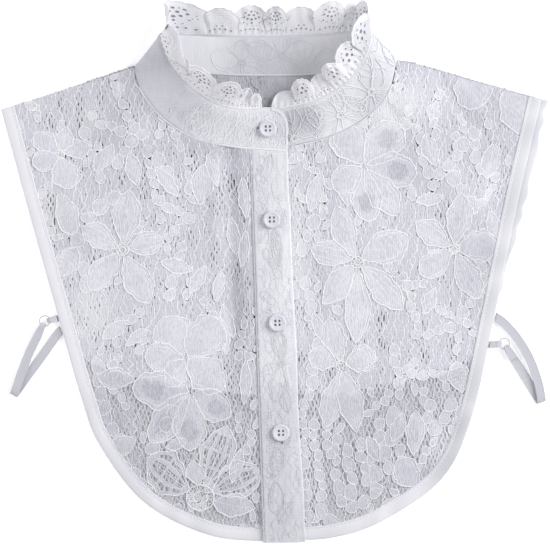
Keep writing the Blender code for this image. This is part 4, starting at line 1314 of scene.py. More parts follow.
# A fan of petals stands at the left front, and past the left flank come whole flowers and
# leaves. From the calm station on, only their cords show on the inner layer.
stand_rng = np.random.default_rng(5)
STAND_CHART = ([], [], [])
CALM = (56.0, STAND_LENGTH + 60)
PAST_FLANK = 170
for s in np.arange(26, STAND_LENGTH - 10, 33):
    x, y = s + stand_rng.uniform(-5, 5), stand_rng.uniform(4, 24)
    if x < PAST_FLANK:
        continue
    turns = tuple(stand_rng.uniform(0, 40) + np.arange(5) * 72 + stand_rng.uniform(-12, 12, 5))
    lengths, widths = tuple(stand_rng.uniform(15, 27, 5)), tuple(stand_rng.uniform(11, 16, 5))
    styles = tuple(stand_rng.choice(["ribbed", "solid", "leaf", "fan"], 5))
    STAND_CHART[0].append(Flower(x, y, 2.6, turns, lengths, widths, styles))
STAND_CHART[1].extend([
    Motif(52, -4, 118, 34, 13, "ribbed"), Motif(40, -3, 130, 33, 12, "ribbed"),
    Motif(27, -2, 122, 31, 11, "ribbed"), Motif(16, -3, 104, 27, 10, "fan"),
    Motif(62, 2, 96, 27, 12, "ribbed"),
])
for s in np.arange(PAST_FLANK, STAND_LENGTH - 4, 16.5):
    x, y, heading = s + stand_rng.uniform(-4, 4), stand_rng.uniform(0, 16), stand_rng.uniform(60, 120)
    STAND_CHART[1].append(Motif(x, y, heading, 20, 8, "leaf"))
face_lace, face_cords = lay_lace(
    stand_face, ((1, 0), (STAND_LENGTH - 1, 29)), STAND_CHART, 21, 1.6, 0.72, 0, (INNER, CORD, None), CALM
)
stand_lace = add_piece("stand_lace", joined("stand_lace", [face_lace, face_cords]))
paint_stand_shade(stand_lace.data)

# The inner layer shows between the side folds, across the back of the neck.
back_from, back_to = (np.interp(section, where_at, s_grid) for section in (6.6, 15.6))
inner_rim = outline(np.array([
    [back_from, 0.9], [back_to, 0.9], [back_to, 25.5], [back_from, 25.5]
]))
stand_inner = Surface(stand_low, stand_step, stand_back.spots, inner_rim)
inner_chart = ([f for f in STAND_CHART[0] if back_from - 20 < f.x < back_to + 20], [], [])
# Darker than the inner layer's face: partly its wrong side's own tone, partly painted shade inside the neck.
NECK_LINING = cloth_material(
    "lace_inner_layer_wrong_side_painted_shade", "#d9d9df", "#c6c6cd", 0.95, 0.05, "X", 0.0021, 0.14, 6.0,
    streak=(0.004, 0.012),
)
_, inner_cords = lay_lace(
    stand_inner, ((back_from, 0), (back_to, 29)), inner_chart, 22, 1.2, 0.95, 0,
    (NECK_LINING, WRONG_CORD, None), (back_from - 40, back_to + 40)
)


def sheet_mesh(name, grid, places, *materials):
    """An open sheet of cloth through the places in millimetres of a grid's points."""
    mesh = bpy.data.meshes.new(name)
    quads = grid_quads(*grid)[..., [0, 3, 2, 1]].reshape(-1, 4)
    mesh.from_pydata((places * MM).tolist(), [], quads.tolist())
    mesh.shade_smooth()
    for material in materials:
        mesh.materials.append(material)
    return mesh


sheet_s, sheet_h = np.meshgrid(
    np.arange(back_from, back_to, STAND_STEP), np.arange(0.4, 26.5, STAND_STEP), indexing="ij"
)
sheet_spots = stand_inner.place(np.column_stack([sheet_s.ravel(), sheet_h.ravel()]), 0.05)
inner_parts = [sheet_mesh("inner_sheet", sheet_s.shape, sheet_spots, NECK_LINING), inner_cords]
stand_inside = add_piece("stand_inner_lace", joined("stand_inner_lace", inner_parts))
# Painted light: the inner layer paler away from the middle of the back.
from_middle = np.abs(spots_of(stand_inside.data)[:, 0] + 2)
set_painted_shading(stand_inside.data, -0.6 * smooth((from_middle - 16) / 24))


def seam_roll(name, line, girth, height, material):
    """A narrow pressed seam as a soft roll along places in millimetres."""
    line = evenly(line, 2.0)
    side = unit(np.cross(np.gradient(line, axis=0), [0.0, 0.0, 1.0]))
    mesh = yarn(name, [(line * MM, side, girth * MM, False)], HALF_ROUND, height, 7, material)
    # Painted shade on every roll, more beside the placket, on the left flank and near the top of the back.
    x, y, _ = spots_of(mesh).T
    placket_side = 0.8 * ((x < -10) & (y < 80))
    flank = 0.55 * smooth((-18 - x) / 30) * (y > 80)
    near_top = 0.2 * smooth((y - 92) / 20) * (np.abs(x) < 50)
    set_painted_shading(mesh, 0.1 + placket_side + flank + near_top)
    return mesh


def stand_line(s, h, lift, surface=stand_face):
    """A line along the stand at this height on one of its faces."""
    return surface.place(np.column_stack([s, np.broadcast_to(h, s.shape)]), lift)


# The neck seam shows outside up to the side folds and inside between them, and a pressed
# edge runs down the placket's left side. Each has its girth and its height as a share of it.
PAST_FOLD = 14
neck_seams = [
    (stand_line(np.arange(0.5, back_from - PAST_FOLD, 1.5), 0.15, -0.1), 1.4, 0.25),
    (stand_line(np.arange(back_to + PAST_FOLD, STAND_LENGTH - 1.0, 1.5), 0.15, -0.1), 0.8, 0.18),
    (stand_line(np.arange(back_from - PAST_FOLD, back_to + PAST_FOLD, 1.5), 0.6, 0.0, stand_back), 1.1, 0.3),
    (placket_surface.place(np.column_stack([left_at - 0.25, placket_levels[:, 0]]), 0.1), 1.1, 0.3),
]
rolls = [seam_roll("neck_seam", line, girth, rise, INNER) for line, girth, rise in neck_seams]
top_s = np.arange(9, STAND_LENGTH - 1, 1.5)
top_reach = np.interp(top_s, s_grid, reach_s)
top_edge = np.column_stack([top_s, top_reach + 0.3])
for part, girth in ((top_s < back_to, 1.1), (top_s > back_to, 1.2)):
    rolls.append(seam_roll("frill_seam", stand_face.place(top_edge[part], -0.55), girth, 0.45, INNER))
rolls.append(seam_roll("frill_seam", stand_back.place(top_edge, -0.5), 1.1, 0.4, INNER))
end_edge = np.array([
    [0.7, 0.4], [0.7, 8.0], [0.7, 15.0], [0.9, 18.6], [2.2, 22.2], [4.8, 25.0], [8.0, 26.6], [11.0, 26.9]
])
rolls.append(seam_roll("over_end_edge", stand_face.place(end_edge, -0.25), 1.35, 0.4, LOW_CORD))
neck_roll = add_piece("neck_seam", joined("neck_seam", rolls))
seam_s = np.arange(1, STAND_LENGTH - 1, 1.5)
seam_s = seam_s[seam_s > back_to]
stand_rows = stitching("stand_stitches", [
    stand_line(seam_s, np.interp(seam_s, s_grid, reach_s) - 1.9, 0.05),
    stand_face.place(np.array([[2.6, 1.5], [2.6, 12], [2.6, 19], [3.4, 22.5], [5.6, 25.2], [9, 26.4]]), 0.05),
])


# --- Frill ----------------------------------------------------------------------------------
# A gathered cotton lace edging, about 20 mm deep, sewn into the stand's top edge. Its free
# edge is cut in scallops; by turns they hold a cluster of eyelets and close satin arcs.

TRIM = cloth_material("cotton_lace_edging", "#fbfbfd", "#eeeef3", 0.85, 0.2, "X", 0.0011, 0.12, 1.0, 0.0011)
TRIM_CORD = cloth_material("edging_outline_thread", "#ffffff", "#f1f1f8", 0.75, 0.25, "Y", 0.0005, 0.04)
# Painted shadow: the dark colour of each eyelet, where the real edging has an open hole.
EYELET_SHADOW = cloth_material("edging_eyelet_painted_shadow", "#a6a7ae", "#8e8f97", 0.95, 0.0, "X", 0.0007, 0.1, 2.0)
FRILL_FROM = 1.12
FLAT_SCALLOP, FLAT_DEPTH = 22.0, 20.0
# Each lobe ends at a section number of the stand. reach is its depth, sway how far it stands
# out of the stand's plane, tip its extra lean in degrees and drift how far its free edge is
# pushed along the neck, all but tip in millimetres.
Lobe = namedtuple("Lobe", "ends_at reach sway tip drift kind")
LOBES = [
    Lobe(1.6, 10, 2.6, 0, 1.5, "eyelets"), Lobe(2.2, 15, -2.4, 4, 0, "satin"),
    Lobe(3.1, 20, 3.4, 4, 0, "eyelets"), Lobe(4.25, 19.5, -3.4, 6, 0, "eyelets"),
    Lobe(5.3, 14, -2.0, -6, -3, "satin"), Lobe(7.2, 18, 4.5, -16, -17, "satin"),
    Lobe(9.77, 23, 2.4, -8, 0, "eyelets"), Lobe(10.46, 17.5, -2.2, 0, 0, "satin"),
    Lobe(10.96, 20, 2.6, 0, 0, "eyelets"), Lobe(11.33, 18.5, -2.4, 0, 0, "eyelets"),
    Lobe(11.88, 18.5, 2.6, 0, 0, "satin"), Lobe(12.8, 21, -2.2, 0, 0, "eyelets"),
    Lobe(14.1, 21.5, 3.4, 6, 0, "eyelets"), Lobe(15.7, 19, -2.0, 24, -4, "eyelets"),
    Lobe(16.9, 25, 3.4, -6, 2, "big"), Lobe(18.0, 24, -3.4, -4, 2, "big"),
    Lobe(18.95, 21.5, 3.6, -2, 0, "big"), Lobe(19.8, 16, -3.0, 0, 0, "satin"),
    Lobe(20.45, 17, 2.4, 0, 0, "big"), Lobe(21.1, 10.5, -1.0, -6, -1.5, "plain"),
]
FINE = 0.5
PICOT_PITCH = 3.667

# u runs along the flat edging and v across it. Each lobe is pushed to its place on the stand.
u_grid = np.arange(0, len(LOBES) * FLAT_SCALLOP + FINE / 2, FINE)
v_grid = np.arange(0, FLAT_DEPTH + FINE / 2, FINE)
lobe_at = np.minimum((u_grid / FLAT_SCALLOP).astype(int), len(LOBES) - 1)
turn = u_grid / FLAT_SCALLOP - lobe_at
starts = np.array([FRILL_FROM] + [lobe.ends_at for lobe in LOBES])
frill_where = starts[lobe_at] + (starts[lobe_at + 1] - starts[lobe_at]) * turn
lobe_table = np.array([[lobe.reach, lobe.sway] for lobe in LOBES])[lobe_at]
extra_lean, drift = curve_at([[lobe.tip, lobe.drift] for lobe in LOBES], u_grid / FLAT_SCALLOP - 0.5).T
FINE_COUNT = 2000
fine_base, fine_top = stand_edges(np.linspace(0, len(STAND) - 1, FINE_COUNT))
fine_up, fine_out, _ = stand_directions(fine_base, fine_top)
fine_along = unit(np.gradient(fine_top, axis=0))
at = frill_where / (len(STAND) - 1) * (FINE_COUNT - 1)


def along_frill(field):
    """What a field of the stand's top edge is at each station of the frill."""
    return np.stack([np.interp(at, np.arange(FINE_COUNT), column) for column in field.T], axis=1)


# Where the edging is sewn in, and which way it stands up, out and along there.
start = along_frill(fine_top - fine_out * STAND_WALL / 2)
up, outward, ahead = unit(along_frill(fine_up)), unit(along_frill(fine_out)), unit(along_frill(fine_along))
spread_back = smooth((frill_where - 7.3) / 1.0) * smooth((14.6 - frill_where) / 1.0)
up = unit(up * np.column_stack([1 - 1.15 * spread_back, np.ones(len(at)), np.ones(len(at))]))
lean = np.radians(curve_at([[s.lean] for s in STAND.values()], frill_where)[:, 0] + extra_lean)
width = np.abs(np.diff(np.interp(starts, stations, length_along(top_line))))[lobe_at]

# How deep each lobe is, with small picots on its edge.
lobe_arc = np.sin(math.pi * turn)
share = v_grid / FLAT_DEPTH
plain = np.array([lobe.kind == "plain" for lobe in LOBES])[lobe_at]
edge_reach = lobe_table[:, 0] * (0.5 + 0.5 * lobe_arc ** np.where(plain, 0.35, 0.75))
edge_reach *= np.where(plain, np.sqrt(1 - (0.97 * np.clip(turn / 0.5 - 1, 0, 1)) ** 2), 1)
picot = 0.7 * np.abs(np.sin(math.pi * u_grid / PICOT_PITCH)) * ~plain
depth = edge_reach[:, None] * share + picot[:, None] * share**10
out = 0.6 + depth

# How far it stands aside: gathers at the seam, small rumples, the lobe's own sway and its curl.
gathers = 0.24 * np.sin(2 * math.pi * u_grid / 5.3 + 0.8 * np.sin(u_grid / 9))[:, None]
gathers = gathers * np.exp(-(((share - 0.13) / 0.24) ** 2))
rumple = 0.4 * np.sin(u_grid[:, None] / 1.45 + 2.6 * share + 1.3 * np.sin(u_grid[:, None] / 4.1)) * share
rumple += 0.25 * np.sin(7.5 * share + u_grid[:, None] / 2.3) * share
curl = 0.9 * np.sin(2.5 * turn + lobe_at)[:, None] * share**3
sway = lobe_table[:, 1:2] * lobe_arc[:, None] * share**1.15
aside = np.sin(lean)[:, None] * out + sway + gathers + rumple + curl
fan = width[:, None] * (0.22 * (turn - 0.5) - 0.04 * np.sin(2 * math.pi * turn))[:, None] * share**1.3
frill_spots = (
    start[:, None] + up[:, None] * (np.cos(lean)[:, None] * out)[..., None]
    + outward[:, None] * aside[..., None] + ahead[:, None] * (fan + drift[:, None] * share**1.2)[..., None]
)
frill_spots[..., 2] = np.maximum(frill_spots[..., 2], 0.35)
frill_rim = outline(np.array([
    [0, 0], [u_grid[-1], 0], [u_grid[-1], FLAT_DEPTH], [0, FLAT_DEPTH]
]))
frill_surface = Surface((0, 0), (FINE, FINE), frill_spots, frill_rim, -1)

Eyelet = namedtuple("Eyelet", "across up radius")
BIG = [
    Eyelet(-2.0, 9.7, 1.05), Eyelet(2.3, 9.1, 1.1), Eyelet(0.3, 12.7, 1.15), Eyelet(-4.2, 13.0, 0.8),
    Eyelet(4.5, 13.4, 0.9), Eyelet(-1.8, 16.0, 0.65), Eyelet(2.1, 16.3, 0.6), Eyelet(-6, 4.0, 0.6),
    Eyelet(0, 4.6, 0.7), Eyelet(6, 4.0, 0.6),
]
CLUSTER = [
    Eyelet(0, 10.6, 0.85), Eyelet(-2.5, 11.4, 0.75), Eyelet(2.5, 11.4, 0.75), Eyelet(-1.4, 13.7, 0.75),
    Eyelet(1.4, 13.7, 0.75), Eyelet(0, 8.3, 0.7), Eyelet(-4.6, 13.2, 0.7), Eyelet(4.6, 13.2, 0.7),
    Eyelet(0, 16.0, 0.7), Eyelet(-3.4, 15.8, 0.6), Eyelet(3.4, 15.8, 0.6), Eyelet(-8, 3.6, 0.6),
    Eyelet(-4.6, 4.0, 0.6), Eyelet(-1.5, 4.0, 0.6), Eyelet(1.5, 4.0, 0.6), Eyelet(4.6, 4.0, 0.6),
    Eyelet(8, 3.6, 0.6), Eyelet(-5.4, 9.6, 0.6), Eyelet(5.4, 9.6, 0.6),
]
# Tiny holes stand round the cluster's middle, and every second one round the big eyelets.
for beat in range(15):
    angle, ring = 2.4 * beat, 6.4 if beat % 2 else 7.8
    tiny = Eyelet(ring * math.cos(angle), 11.8 + 0.72 * ring * math.sin(angle), 0.42)
    CLUSTER.append(tiny)
    if beat % 2:
        BIG.append(tiny)
ROW = [
    Eyelet(-7, 3.6, 0.7), Eyelet(-3.5, 4.2, 0.7), Eyelet(0, 4.4, 0.7), Eyelet(3.5, 4.2, 0.7),
    Eyelet(7, 3.6, 0.7), Eyelet(-1.8, 6.8, 0.6), Eyelet(1.8, 6.8, 0.6),
]
# What each kind of lobe holds: its eyelets, and how high its satin arcs stand.
Pattern = namedtuple("Pattern", "eyelets arcs")
PATTERNS = {
    "big": Pattern(BIG, [17.8]), "eyelets": Pattern(CLUSTER, [17.6]), "plain": Pattern([], []),
    "satin": Pattern(ROW, [17.6, 16.2, 14.9, 13.6, 12.3, 11.0, 9.7]),
}
eyelets = np.array([
    [(number + 0.5) * FLAT_SCALLOP + e.across, e.up, e.radius]
    for number, lobe in enumerate(LOBES) for e in PATTERNS[lobe.kind].eyelets
])
flat_u, flat_v = np.meshgrid(u_grid, v_grid, indexing="ij")
eyelet_shadow_cells = np.zeros((len(u_grid) - 1, len(v_grid) - 1), bool)
middle_u, middle_v = flat_u[:-1, :-1] + FINE / 2, flat_v[:-1, :-1] + FINE / 2
chart_u, chart_v = flat_u.copy(), flat_v.copy()
for across, height, radius in eyelets:
    eyelet_shadow_cells |= (middle_u - across) ** 2 + (middle_v - height) ** 2 < radius**2
    du, dv = flat_u - across, flat_v - height
    away = np.hypot(du, dv)
    near = (away < radius + 0.3) & (away > radius - 0.45)
    chart_u[near] = across + du[near] / away[near] * radius
    chart_v[near] = height + dv[near] / away[near] * radius
satin = np.array([lobe.kind == "satin" for lobe in LOBES])[lobe_at]
ridge = 0.16 * np.sin(2 * math.pi * (flat_v - 0.11 * (flat_u % FLAT_SCALLOP - 11) ** 2 * 0.6) / 1.7)
ridge *= (satin[:, None] & (flat_v > 8)) * 1.0
# Each eyelet is sunk, and its cells are painted dark: painted shadow where the real edging is open.
in_eyelet = np.zeros(flat_u.shape, bool)
for across, height, radius in eyelets:
    in_eyelet |= (chart_u - across) ** 2 + (chart_v - height) ** 2 < (radius - 0.05) ** 2
ridge -= 0.55 * in_eyelet
places = frill_surface.place(np.column_stack([chart_u.ravel(), chart_v.ravel()]), ridge.ravel())
edging = sheet_mesh("edging", flat_u.shape, places, TRIM, EYELET_SHADOW)
edging.polygons.foreach_set("material_index", eyelet_shadow_cells.ravel().astype(np.int32))
ROUND = yarn_tree("round_yarn_along_lines", 0.0, 2 * math.pi)
rings = [on_cloth(frill_surface, oval(a, h, r + 0.2, r + 0.2, 0, 8), 0.34, 0.0, True) for a, h, r in eyelets]
free_edge = np.column_stack([u_grid, np.full(len(u_grid), FLAT_DEPTH - 0.02)])
rings.append(on_cloth(frill_surface, free_edge, 0.8, 0.0))
HALF_ARC = 9.5
spread = np.linspace(-HALF_ARC, HALF_ARC, 26)
for number, lobe in enumerate(LOBES):
    middle = (number + 0.5) * FLAT_SCALLOP
    for level in PATTERNS[lobe.kind].arcs:
        arc = np.column_stack([middle + spread, level - (spread / HALF_ARC) ** 2 * 3.2])
        rings.append(on_cloth(frill_surface, arc, 0.5, 0.05))
edge_threads = yarn("edging_threads", rings, ROUND, 0.45, 6, TRIM_CORD)
# Painted shade on the right and across the back, and on the tongue that hangs over the front, with two spots
# of painted light.
for mesh in (edging, edge_threads):
    x, y, _ = spots_of(mesh).T
    right = 0.3 * smooth((x - 50) / 14) + 0.6 * smooth((x - 54) / 14)
    back = smooth((y - 148) / 14) * smooth((34 - x) / 14) * smooth((x + 78) / 16)
    pale = 0.9 * soft_spot(x, y, 56, 178, 12, 9) + 0.9 * soft_spot(x, y, -57, 141, 5, 8)
    tongue = 0.5 * soft_spot(x, y, 12, 115, 12, 10)
    set_painted_shading(mesh, right + 0.34 * back + tongue - pale)
frill_mesh = joined("frill_edging", [edging, edge_threads])
frill = add_piece("frill_edging", frill_mesh, ["frill"])


# --- Buttons --------------------------------------------------------------------------------
# Four-hole polyester shirt buttons, 11.8 mm across, with a raised rim and a dished middle,
# each sewn flat through its holes. The first is on the stand and three are on the placket.


def button_resin():
    """Pale polyester, clouded a little like pearl, with a soft shine."""
    made, tree, shader = new_material("pearled_polyester_button_resin")
    where = add(tree, "ShaderNodeTexCoord").outputs["Object"]
    cloud = add(tree, "ShaderNodeTexNoise", Vector=where, Scale=260.0, Detail=2.0).outputs["Fac"]
    colour = mixed(tree, cloud, "#d7d8e1", "#e4e5ed")
    put(tree, shader, Base_Color=colour, Roughness=0.42, Coat_Weight=0.08)
    return made


RESIN = button_resin()
Ring = namedtuple("Ring", "radius height")
BUTTON_RADIUS = 5.9
BUTTON = [
    Ring(3.5, 2.0), Ring(3.9, 2.1), Ring(4.3, 2.32), Ring(4.7, 2.42), Ring(5.2, 2.42), Ring(5.6, 2.25),
    Ring(5.84, 1.9), Ring(BUTTON_RADIUS, 1.5), Ring(5.75, 0.9), Ring(5.3, 0.35), Ring(4.6, 0.05),
]
BUTTONS = [(-2.9, 97.6), (-1.2, 35.9), (1.4, -34.1), (2.6, -108.6)]
HOLE_RADIUS, HOLE_OFF = 0.85, 1.3


def button_mesh():
    """One button: its rings turned about its middle, with four holes drilled through."""
    angle = np.linspace(0, 2 * math.pi, 56, endpoint=False)
    build = bmesh.new()
    rows = []
    for ring in BUTTON:
        spots = [(ring.radius * math.cos(a), ring.radius * math.sin(a), ring.height) for a in angle]
        rows.append([build.verts.new(Vector(spot) * MM) for spot in spots])
    for low, high in zip(rows, rows[1:]):
        for k in range(len(angle)):
            after = (k + 1) % len(angle)
            build.faces.new((low[k], high[k], high[after], low[after]))
    build.faces.new(rows[0])
    build.faces.new(rows[-1][::-1])
    bmesh.ops.recalc_face_normals(build, faces=build.faces)
    mesh = bpy.data.meshes.new("button")
    build.to_mesh(mesh)
    build.free()
    mesh.materials.append(RESIN)
    obj = new_object("button_blank", mesh)
    drills = []
    for dx, dy in ((1, 1), (-1, 1), (-1, -1), (1, -1)):
        bpy.ops.mesh.primitive_cylinder_add(
            vertices=16, radius=HOLE_RADIUS * MM, depth=12 * MM,
            location=(HOLE_OFF * dx * MM, HOLE_OFF * dy * MM, 0),
        )
        drills.append(bpy.context.object)
        hole = obj.modifiers.new("hole", "BOOLEAN")
        hole.object = drills[-1]
    made = bpy.data.meshes.new_from_object(obj.evaluated_get(bpy.context.evaluated_depsgraph_get()))
    for drill in drills + [obj]:
        bpy.data.objects.remove(drill)
    made.materials.clear()
    made.materials.append(RESIN)
    made.shade_smooth()
    made.set_sharp_from_angle(angle=math.radians(35))
    return made


button_form = button_mesh()
# A stitch over the button from hole to hole, across and up, and the buttonhole's two rows.
ARCH = [(-1.0, 0.6), (-0.85, 1.8), (-0.4, 2.06), (0.4, 2.06), (0.85, 1.8), (1.0, 0.6)]
BUTTONHOLE_HALF, ROW_OFF = 5.6, 0.75
# The first button leans on the stand, which rises this much there.
STAND_TILT = math.atan2(2.2, 27.4)
thread_lines, hole_lines = [], []
for number, (x, y) in enumerate(BUTTONS, 1):
    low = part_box(f"button_{number}")[0]
    tilt = STAND_TILT if number == 1 else 0.0
    build = bmesh.new()
    build.from_mesh(button_form)
    turn_x = np.array([[1, 0, 0], [0, math.cos(tilt), -math.sin(tilt)], [0, math.sin(tilt), math.cos(tilt)]])
    seat = np.array([x, y, low.z / MM + BUTTON_RADIUS * math.sin(tilt)])
    for vert in build.verts:
        vert.co = Vector(turn_x @ np.array(vert.co) + seat * MM)
    mesh = bpy.data.meshes.new(f"sewn_button_{number}")
    build.to_mesh(mesh)
    build.free()
    mesh.materials.append(RESIN)
    add_piece(f"sewn_button_{number}", mesh, [f"button_{number}"])
    for dy in (-HOLE_OFF, HOLE_OFF):
        line = np.array([(across, dy, up) for across, up in ARCH]) @ turn_x.T + seat
        thread_lines.append((line * MM, (0.0, 1.0, 0.0), 0.34 * MM, False))
    way = np.array([1.0, 0.0]) if number == 1 else np.array([0.0, 1.0])
    side = np.array([-way[1], way[0]])
    for shift in (-ROW_OFF, ROW_OFF):
        run = np.linspace(-BUTTONHOLE_HALF, BUTTONHOLE_HALF, 24)[:, None] * way + side * shift + [x, y]
        if number == 1:
            spots = np.column_stack([run, np.full(len(run), seat[2] + 0.25)])
        else:
            spots = band_lace_surface.place(run, 0.25)
        hole_lines.append((spots * MM, (*side, 0.0), 1.1 * MM, False))
# The open end of its buttonhole shows beside the first button and below the last, as a dark strip of painted
# shadow.
SLIT = cloth_material("buttonhole_slit_painted_shadow", "#85868d", "#6c6d74", 0.95, 0.0, "X", 0.0007, 0.1, 2.0)
SLIT_FROM, SLIT_TO = 5.4, 7.9
over_end = stand_spots[:40].reshape(-1, 3)
slit_lines = []
for number, way in ((0, np.array([-1.0, 0.05])), (3, np.array([0.1, -1.0]))):
    run = np.linspace(SLIT_FROM, SLIT_TO, 6)
    plan = np.array(BUTTONS[number]) + run[:, None] * way
    if number:
        spots = band_lace_surface.place(plan, 0.3)
    else:
        nearest = ((over_end[:, None, :2] - plan) ** 2).sum(2).argmin(0)
        spots = np.column_stack([plan, over_end[nearest, 2] + 0.45])
    girth = 1.5 * (1 - (run - SLIT_FROM) / 2.6) + 0.15
    slit_lines.append((spots * MM, (-way[1], way[0], 0.0), girth * MM, False))
button_ends, button_seams, button_holes = [
    add_piece(name, yarn(name, lines, tree, height, profile, material))
    for name, lines, tree, height, profile, material in (
        ("buttonhole_ends", slit_lines, HALF_ROUND, 0.15, 3, SLIT),
        ("button_threads", thread_lines, ROUND, 0.5, 7, THREAD),
        ("buttonhole_satin", hole_lines, HALF_ROUND, 0.4, 5, THREAD),
    )
]


# --- Side tapes and rings -------------------------------------------------------------------
# Ribbed elastic, 6 mm wide and 0.8 mm thick, looped through a small clear ring on each side.
# A short tab of narrower elastic holds the ring to the back's binding.


def ribbed_elastic():
    """White elastic with fine ribs across it, which follow the tape round its bends, darker in their hollows
    as painted shade.
    """
    made, tree, shader = new_material("ribbed_white_elastic")
    along = add(tree, "ShaderNodeUVMap", {"uv_map": "tape"}).outputs["UV"]
    crosswise = ribs(tree, along, "Y", 0.0009, 0.4)
    bump = add(tree, "ShaderNodeBump", Height=crosswise, Distance=0.00012, Strength=0.8)
    put(
        tree, shader, Base_Color=mixed(tree, crosswise, "#bbbcc4", "#dcdce3"),
        Normal=bump.outputs["Normal"], Roughness=0.6, Sheen_Weight=0.1,
    )
    return made


ELASTIC = ribbed_elastic()
Tape = namedtuple("Tape", "x y z across width")
TAPES = {
    "tape_left": [
        Tape(-145.6, -36.6, 1.3, 111, 6.0), Tape(-149.7, -41.5, 0.8, 135, 6.0),
        Tape(-158.9, -54.2, 0.5, 141, 6.0), Tape(-169.1, -67.6, 0.5, 143, 6.0),
        Tape(-176.7, -77.9, 0.5, 146, 6.0), Tape(-178.5, -80.3, 1.6, 148, 6.0),
        Tape(-177.2, -77.3, 3.0, 150, 6.0), Tape(-173.1, -65.8, 3.0, 152, 6.0),
        Tape(-167.3, -51.7, 3.0, 154, 6.0), Tape(-161.1, -39.4, 3.2, 154, 5.6),
        Tape(-158.2, -33.5, 3.7, 154, 4.0), Tape(-157.35, -31.8, 2.3, 154, 3.0),
        Tape(-158.2, -33.5, 0.9, 154, 4.0), Tape(-161.5, -40.2, 1.3, 154, 5.6),
        Tape(-166.3, -49.7, 1.75, 154, 5.8),
    ],
    "tape_right": [
        Tape(149.5, -32.4, 1.7, 78, 6.0), Tape(156.4, -38.0, 2.2, 51, 6.0),
        Tape(164.8, -48.3, 2.5, 37, 6.0), Tape(172.4, -61.8, 2.5, 28, 6.0),
        Tape(177.6, -76.9, 2.5, 19, 6.0), Tape(179.6, -88.0, 2.5, 16, 6.0),
        Tape(179.7, -91.0, 1.5, 19, 6.0), Tape(178.2, -89.1, 0.5, 23, 6.0),
        Tape(172.9, -79.9, 0.5, 28, 6.0), Tape(165.1, -66.7, 0.5, 30, 6.0),
        Tape(159.0, -57.0, 0.6, 31, 5.2), Tape(157.1, -53.9, 0.9, 31, 4.0),
        Tape(156.1, -52.3, 2.3, 31, 3.0), Tape(157.1, -53.9, 3.7, 31, 4.0),
        Tape(159.0, -57.0, 3.7, 31, 5.2), Tape(161.8, -61.6, 3.4, 31, 5.8),
    ],
    "tab_left": [
        Tape(-147.5, -28.6, 0.55, 105, 4.4), Tape(-150.5, -29.2, 0.6, 101, 4.4),
        Tape(-153.0, -29.8, 0.95, 101, 3.6), Tape(-154.9, -30.1, 2.3, 101, 3.0),
        Tape(-153.0, -29.8, 3.65, 101, 3.6), Tape(-150.5, -29.2, 3.4, 101, 4.4),
        Tape(-148.3, -28.8, 3.0, 105, 4.4),
    ],
    "tab_right": [
        Tape(144.9, -51.2, 0.55, 76, 4.4), Tape(149.0, -51.1, 0.6, 84, 4.4),
        Tape(151.6, -50.9, 0.95, 88, 3.6), Tape(153.5, -50.8, 2.3, 88, 3.0),
        Tape(151.6, -50.9, 3.65, 88, 3.6), Tape(149.0, -51.1, 3.6, 84, 4.4),
        Tape(145.2, -51.2, 3.4, 76, 4.4),
    ],
}
# Across the tape: the share of its half width, and the height of its ribs above its middle.
TAPE_SECTION = [
    (-1.0, 0.0), (-0.97, 0.34), (-0.88, 0.42), (-0.8, 0.3), (-0.55, 0.38), (-0.3, 0.3), (0.0, 0.38),
    (0.3, 0.3), (0.55, 0.38), (0.8, 0.3), (0.88, 0.42), (0.97, 0.34), (1.0, 0.0),
]
# How many steps the smooth curve has from one of a tape's points to the next.
TAPE_FINE = 8


def tape_mesh(name, stations):
    """One length of elastic, with a map of its length and width for the ribs."""
    fine = curve_at(stations, np.arange(TAPE_FINE * (len(stations) - 1) + 1) / TAPE_FINE)
    centre = fine[:, :3]
    angle = np.radians(fine[:, 3])
    side = np.column_stack([np.cos(angle), np.sin(angle), np.zeros(len(angle))])
    normal = unit(np.cross(np.gradient(centre, axis=0), side))
    half = fine[:, 4:5] / 2
    upper, lower = (
        np.stack([centre + side * half * a + normal * way * h for a, h in TAPE_SECTION], axis=1)
        for way in (1, -1)
    )
    mesh = wall_mesh(name, upper, lower, ELASTIC)
    run = length_along(centre) * MM
    layer = mesh.uv_layers.new(name="tape")
    spots = spots_of(mesh)
    nearest = np.array([((centre - spot) ** 2).sum(1).argmin() for spot in spots])
    offset = ((spots - centre[nearest]) * side[nearest]).sum(1) * MM
    for loop in mesh.loops:
        layer.data[loop.index].uv = (offset[loop.vertex_index], run[nearest[loop.vertex_index]])
    return mesh


for word, stations_of in TAPES.items():
    mesh = tape_mesh(word + "_elastic", stations_of)
    add_piece(word + "_elastic", mesh, [word])

NYLON, nylon_tree, nylon_shader = new_material("clear_nylon_ring")
put(
    nylon_tree, nylon_shader, Base_Color=linear("#e9eaf0"), Roughness=0.25, Transmission_Weight=0.35,
    IOR=1.53,
)
RINGS = {"left": (-156.6, -30.3, 2.3), "right": (155.2, -50.8, 2.3)}
RING_RADIUS, RING_WIRE = 3.6, 1.0
for word, place in RINGS.items():
    circle = oval(*place[:2], RING_RADIUS, RING_RADIUS, 0, 40)
    spots = np.column_stack([circle, np.full(len(circle), place[2])])
    across = np.column_stack([circle - place[:2], np.zeros(len(circle))])
    mesh = yarn("ring", [(spots * MM, unit(across), RING_WIRE * MM, True)], ROUND, 0.5, 11, NYLON)
    add_piece(f"ring_{word}_loop", mesh, [f"ring_{word}"])


# --- Stage ----------------------------------------------------------------------------------
# A plain pale sheet, one large soft window light from the right, a weak one from the left and
# a bright room, seen from straight above.

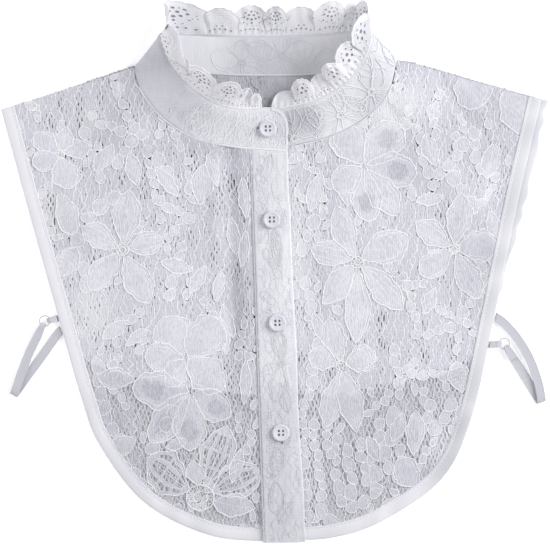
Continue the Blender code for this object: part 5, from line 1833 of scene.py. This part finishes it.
# The sheet, 6 m across, is in small cells near the garment. It glows faintly under the garment
# and more beyond its outline: painted light that washes out the garment's cast shadow.
GLOW_UNDER, GLOW_BEYOND = 0.07, 0.27
steps = np.concatenate([[-3000.0], np.arange(-260.0, 261.0, 4.0), [3000.0]])
floor_x, floor_y = np.meshgrid(steps, steps, indexing="ij")
floor_spots = np.column_stack([floor_x.ravel(), floor_y.ravel()])
panels = (left_panel, right_panel, back_panel)
covered = np.max([within(panel.rim, floor_spots) for panel in panels], axis=0)
quads = grid_quads(*floor_x.shape).reshape(-1, 4)
floor_mesh = bpy.data.meshes.new("floor")
floor_mesh.from_pydata((np.column_stack([floor_spots, 0 * covered]) * MM).tolist(), [], quads.tolist())
shine = GLOW_UNDER + GLOW_BEYOND * (1.0 - covered)
floor_mesh.attributes.new("glow", "FLOAT", "POINT").data.foreach_set("value", shine)
floor = new_object("floor", floor_mesh)
floor.location.z = solid_low.z - 0.0002
floor_paint, floor_tree, floor_shader = new_material("pale_backdrop")
glow = add(floor_tree, "ShaderNodeAttribute", {"attribute_name": "glow"}).outputs["Fac"]
put(
    floor_tree, floor_shader, Base_Color=linear("#fcfcfd"), Roughness=0.9,
    Emission_Color=linear("#ffffff"), Emission_Strength=glow,
)
floor_mesh.materials.append(floor_paint)


def area_light(name, place, size, power):
    """A round soft light that faces the middle of the collar."""
    data = bpy.data.lights.new(name, "AREA")
    data.shape = "DISK"
    data.size = size
    data.energy = power
    obj = new_object(name, data)
    obj.location = place
    obj.rotation_euler = (-Vector(place)).to_track_quat("-Z", "Y").to_euler()


area_light("key", (1.65, 0.5, 1.2), size=1.5, power=37)
area_light("fill", (-1.5, 0.2, 1.1), size=1.8, power=12.4)
world = bpy.data.worlds.new("studio")
world.use_nodes = True
put(world.node_tree, world.node_tree.nodes["Background"], Color=linear("#f6f5f9"), Strength=0.45)
bpy.context.scene.world = world

camera_data = bpy.data.cameras.new("camera")
camera_data.lens = 154
camera_data.sensor_width = 36
camera = new_object("camera", camera_data)
camera.location = (0.0003, 0.0, 1.6)
camera.rotation_euler = (0, 0, -math.radians(0.94))
bpy.context.scene.camera = camera
bpy.context.scene.view_settings.view_transform = "Standard"
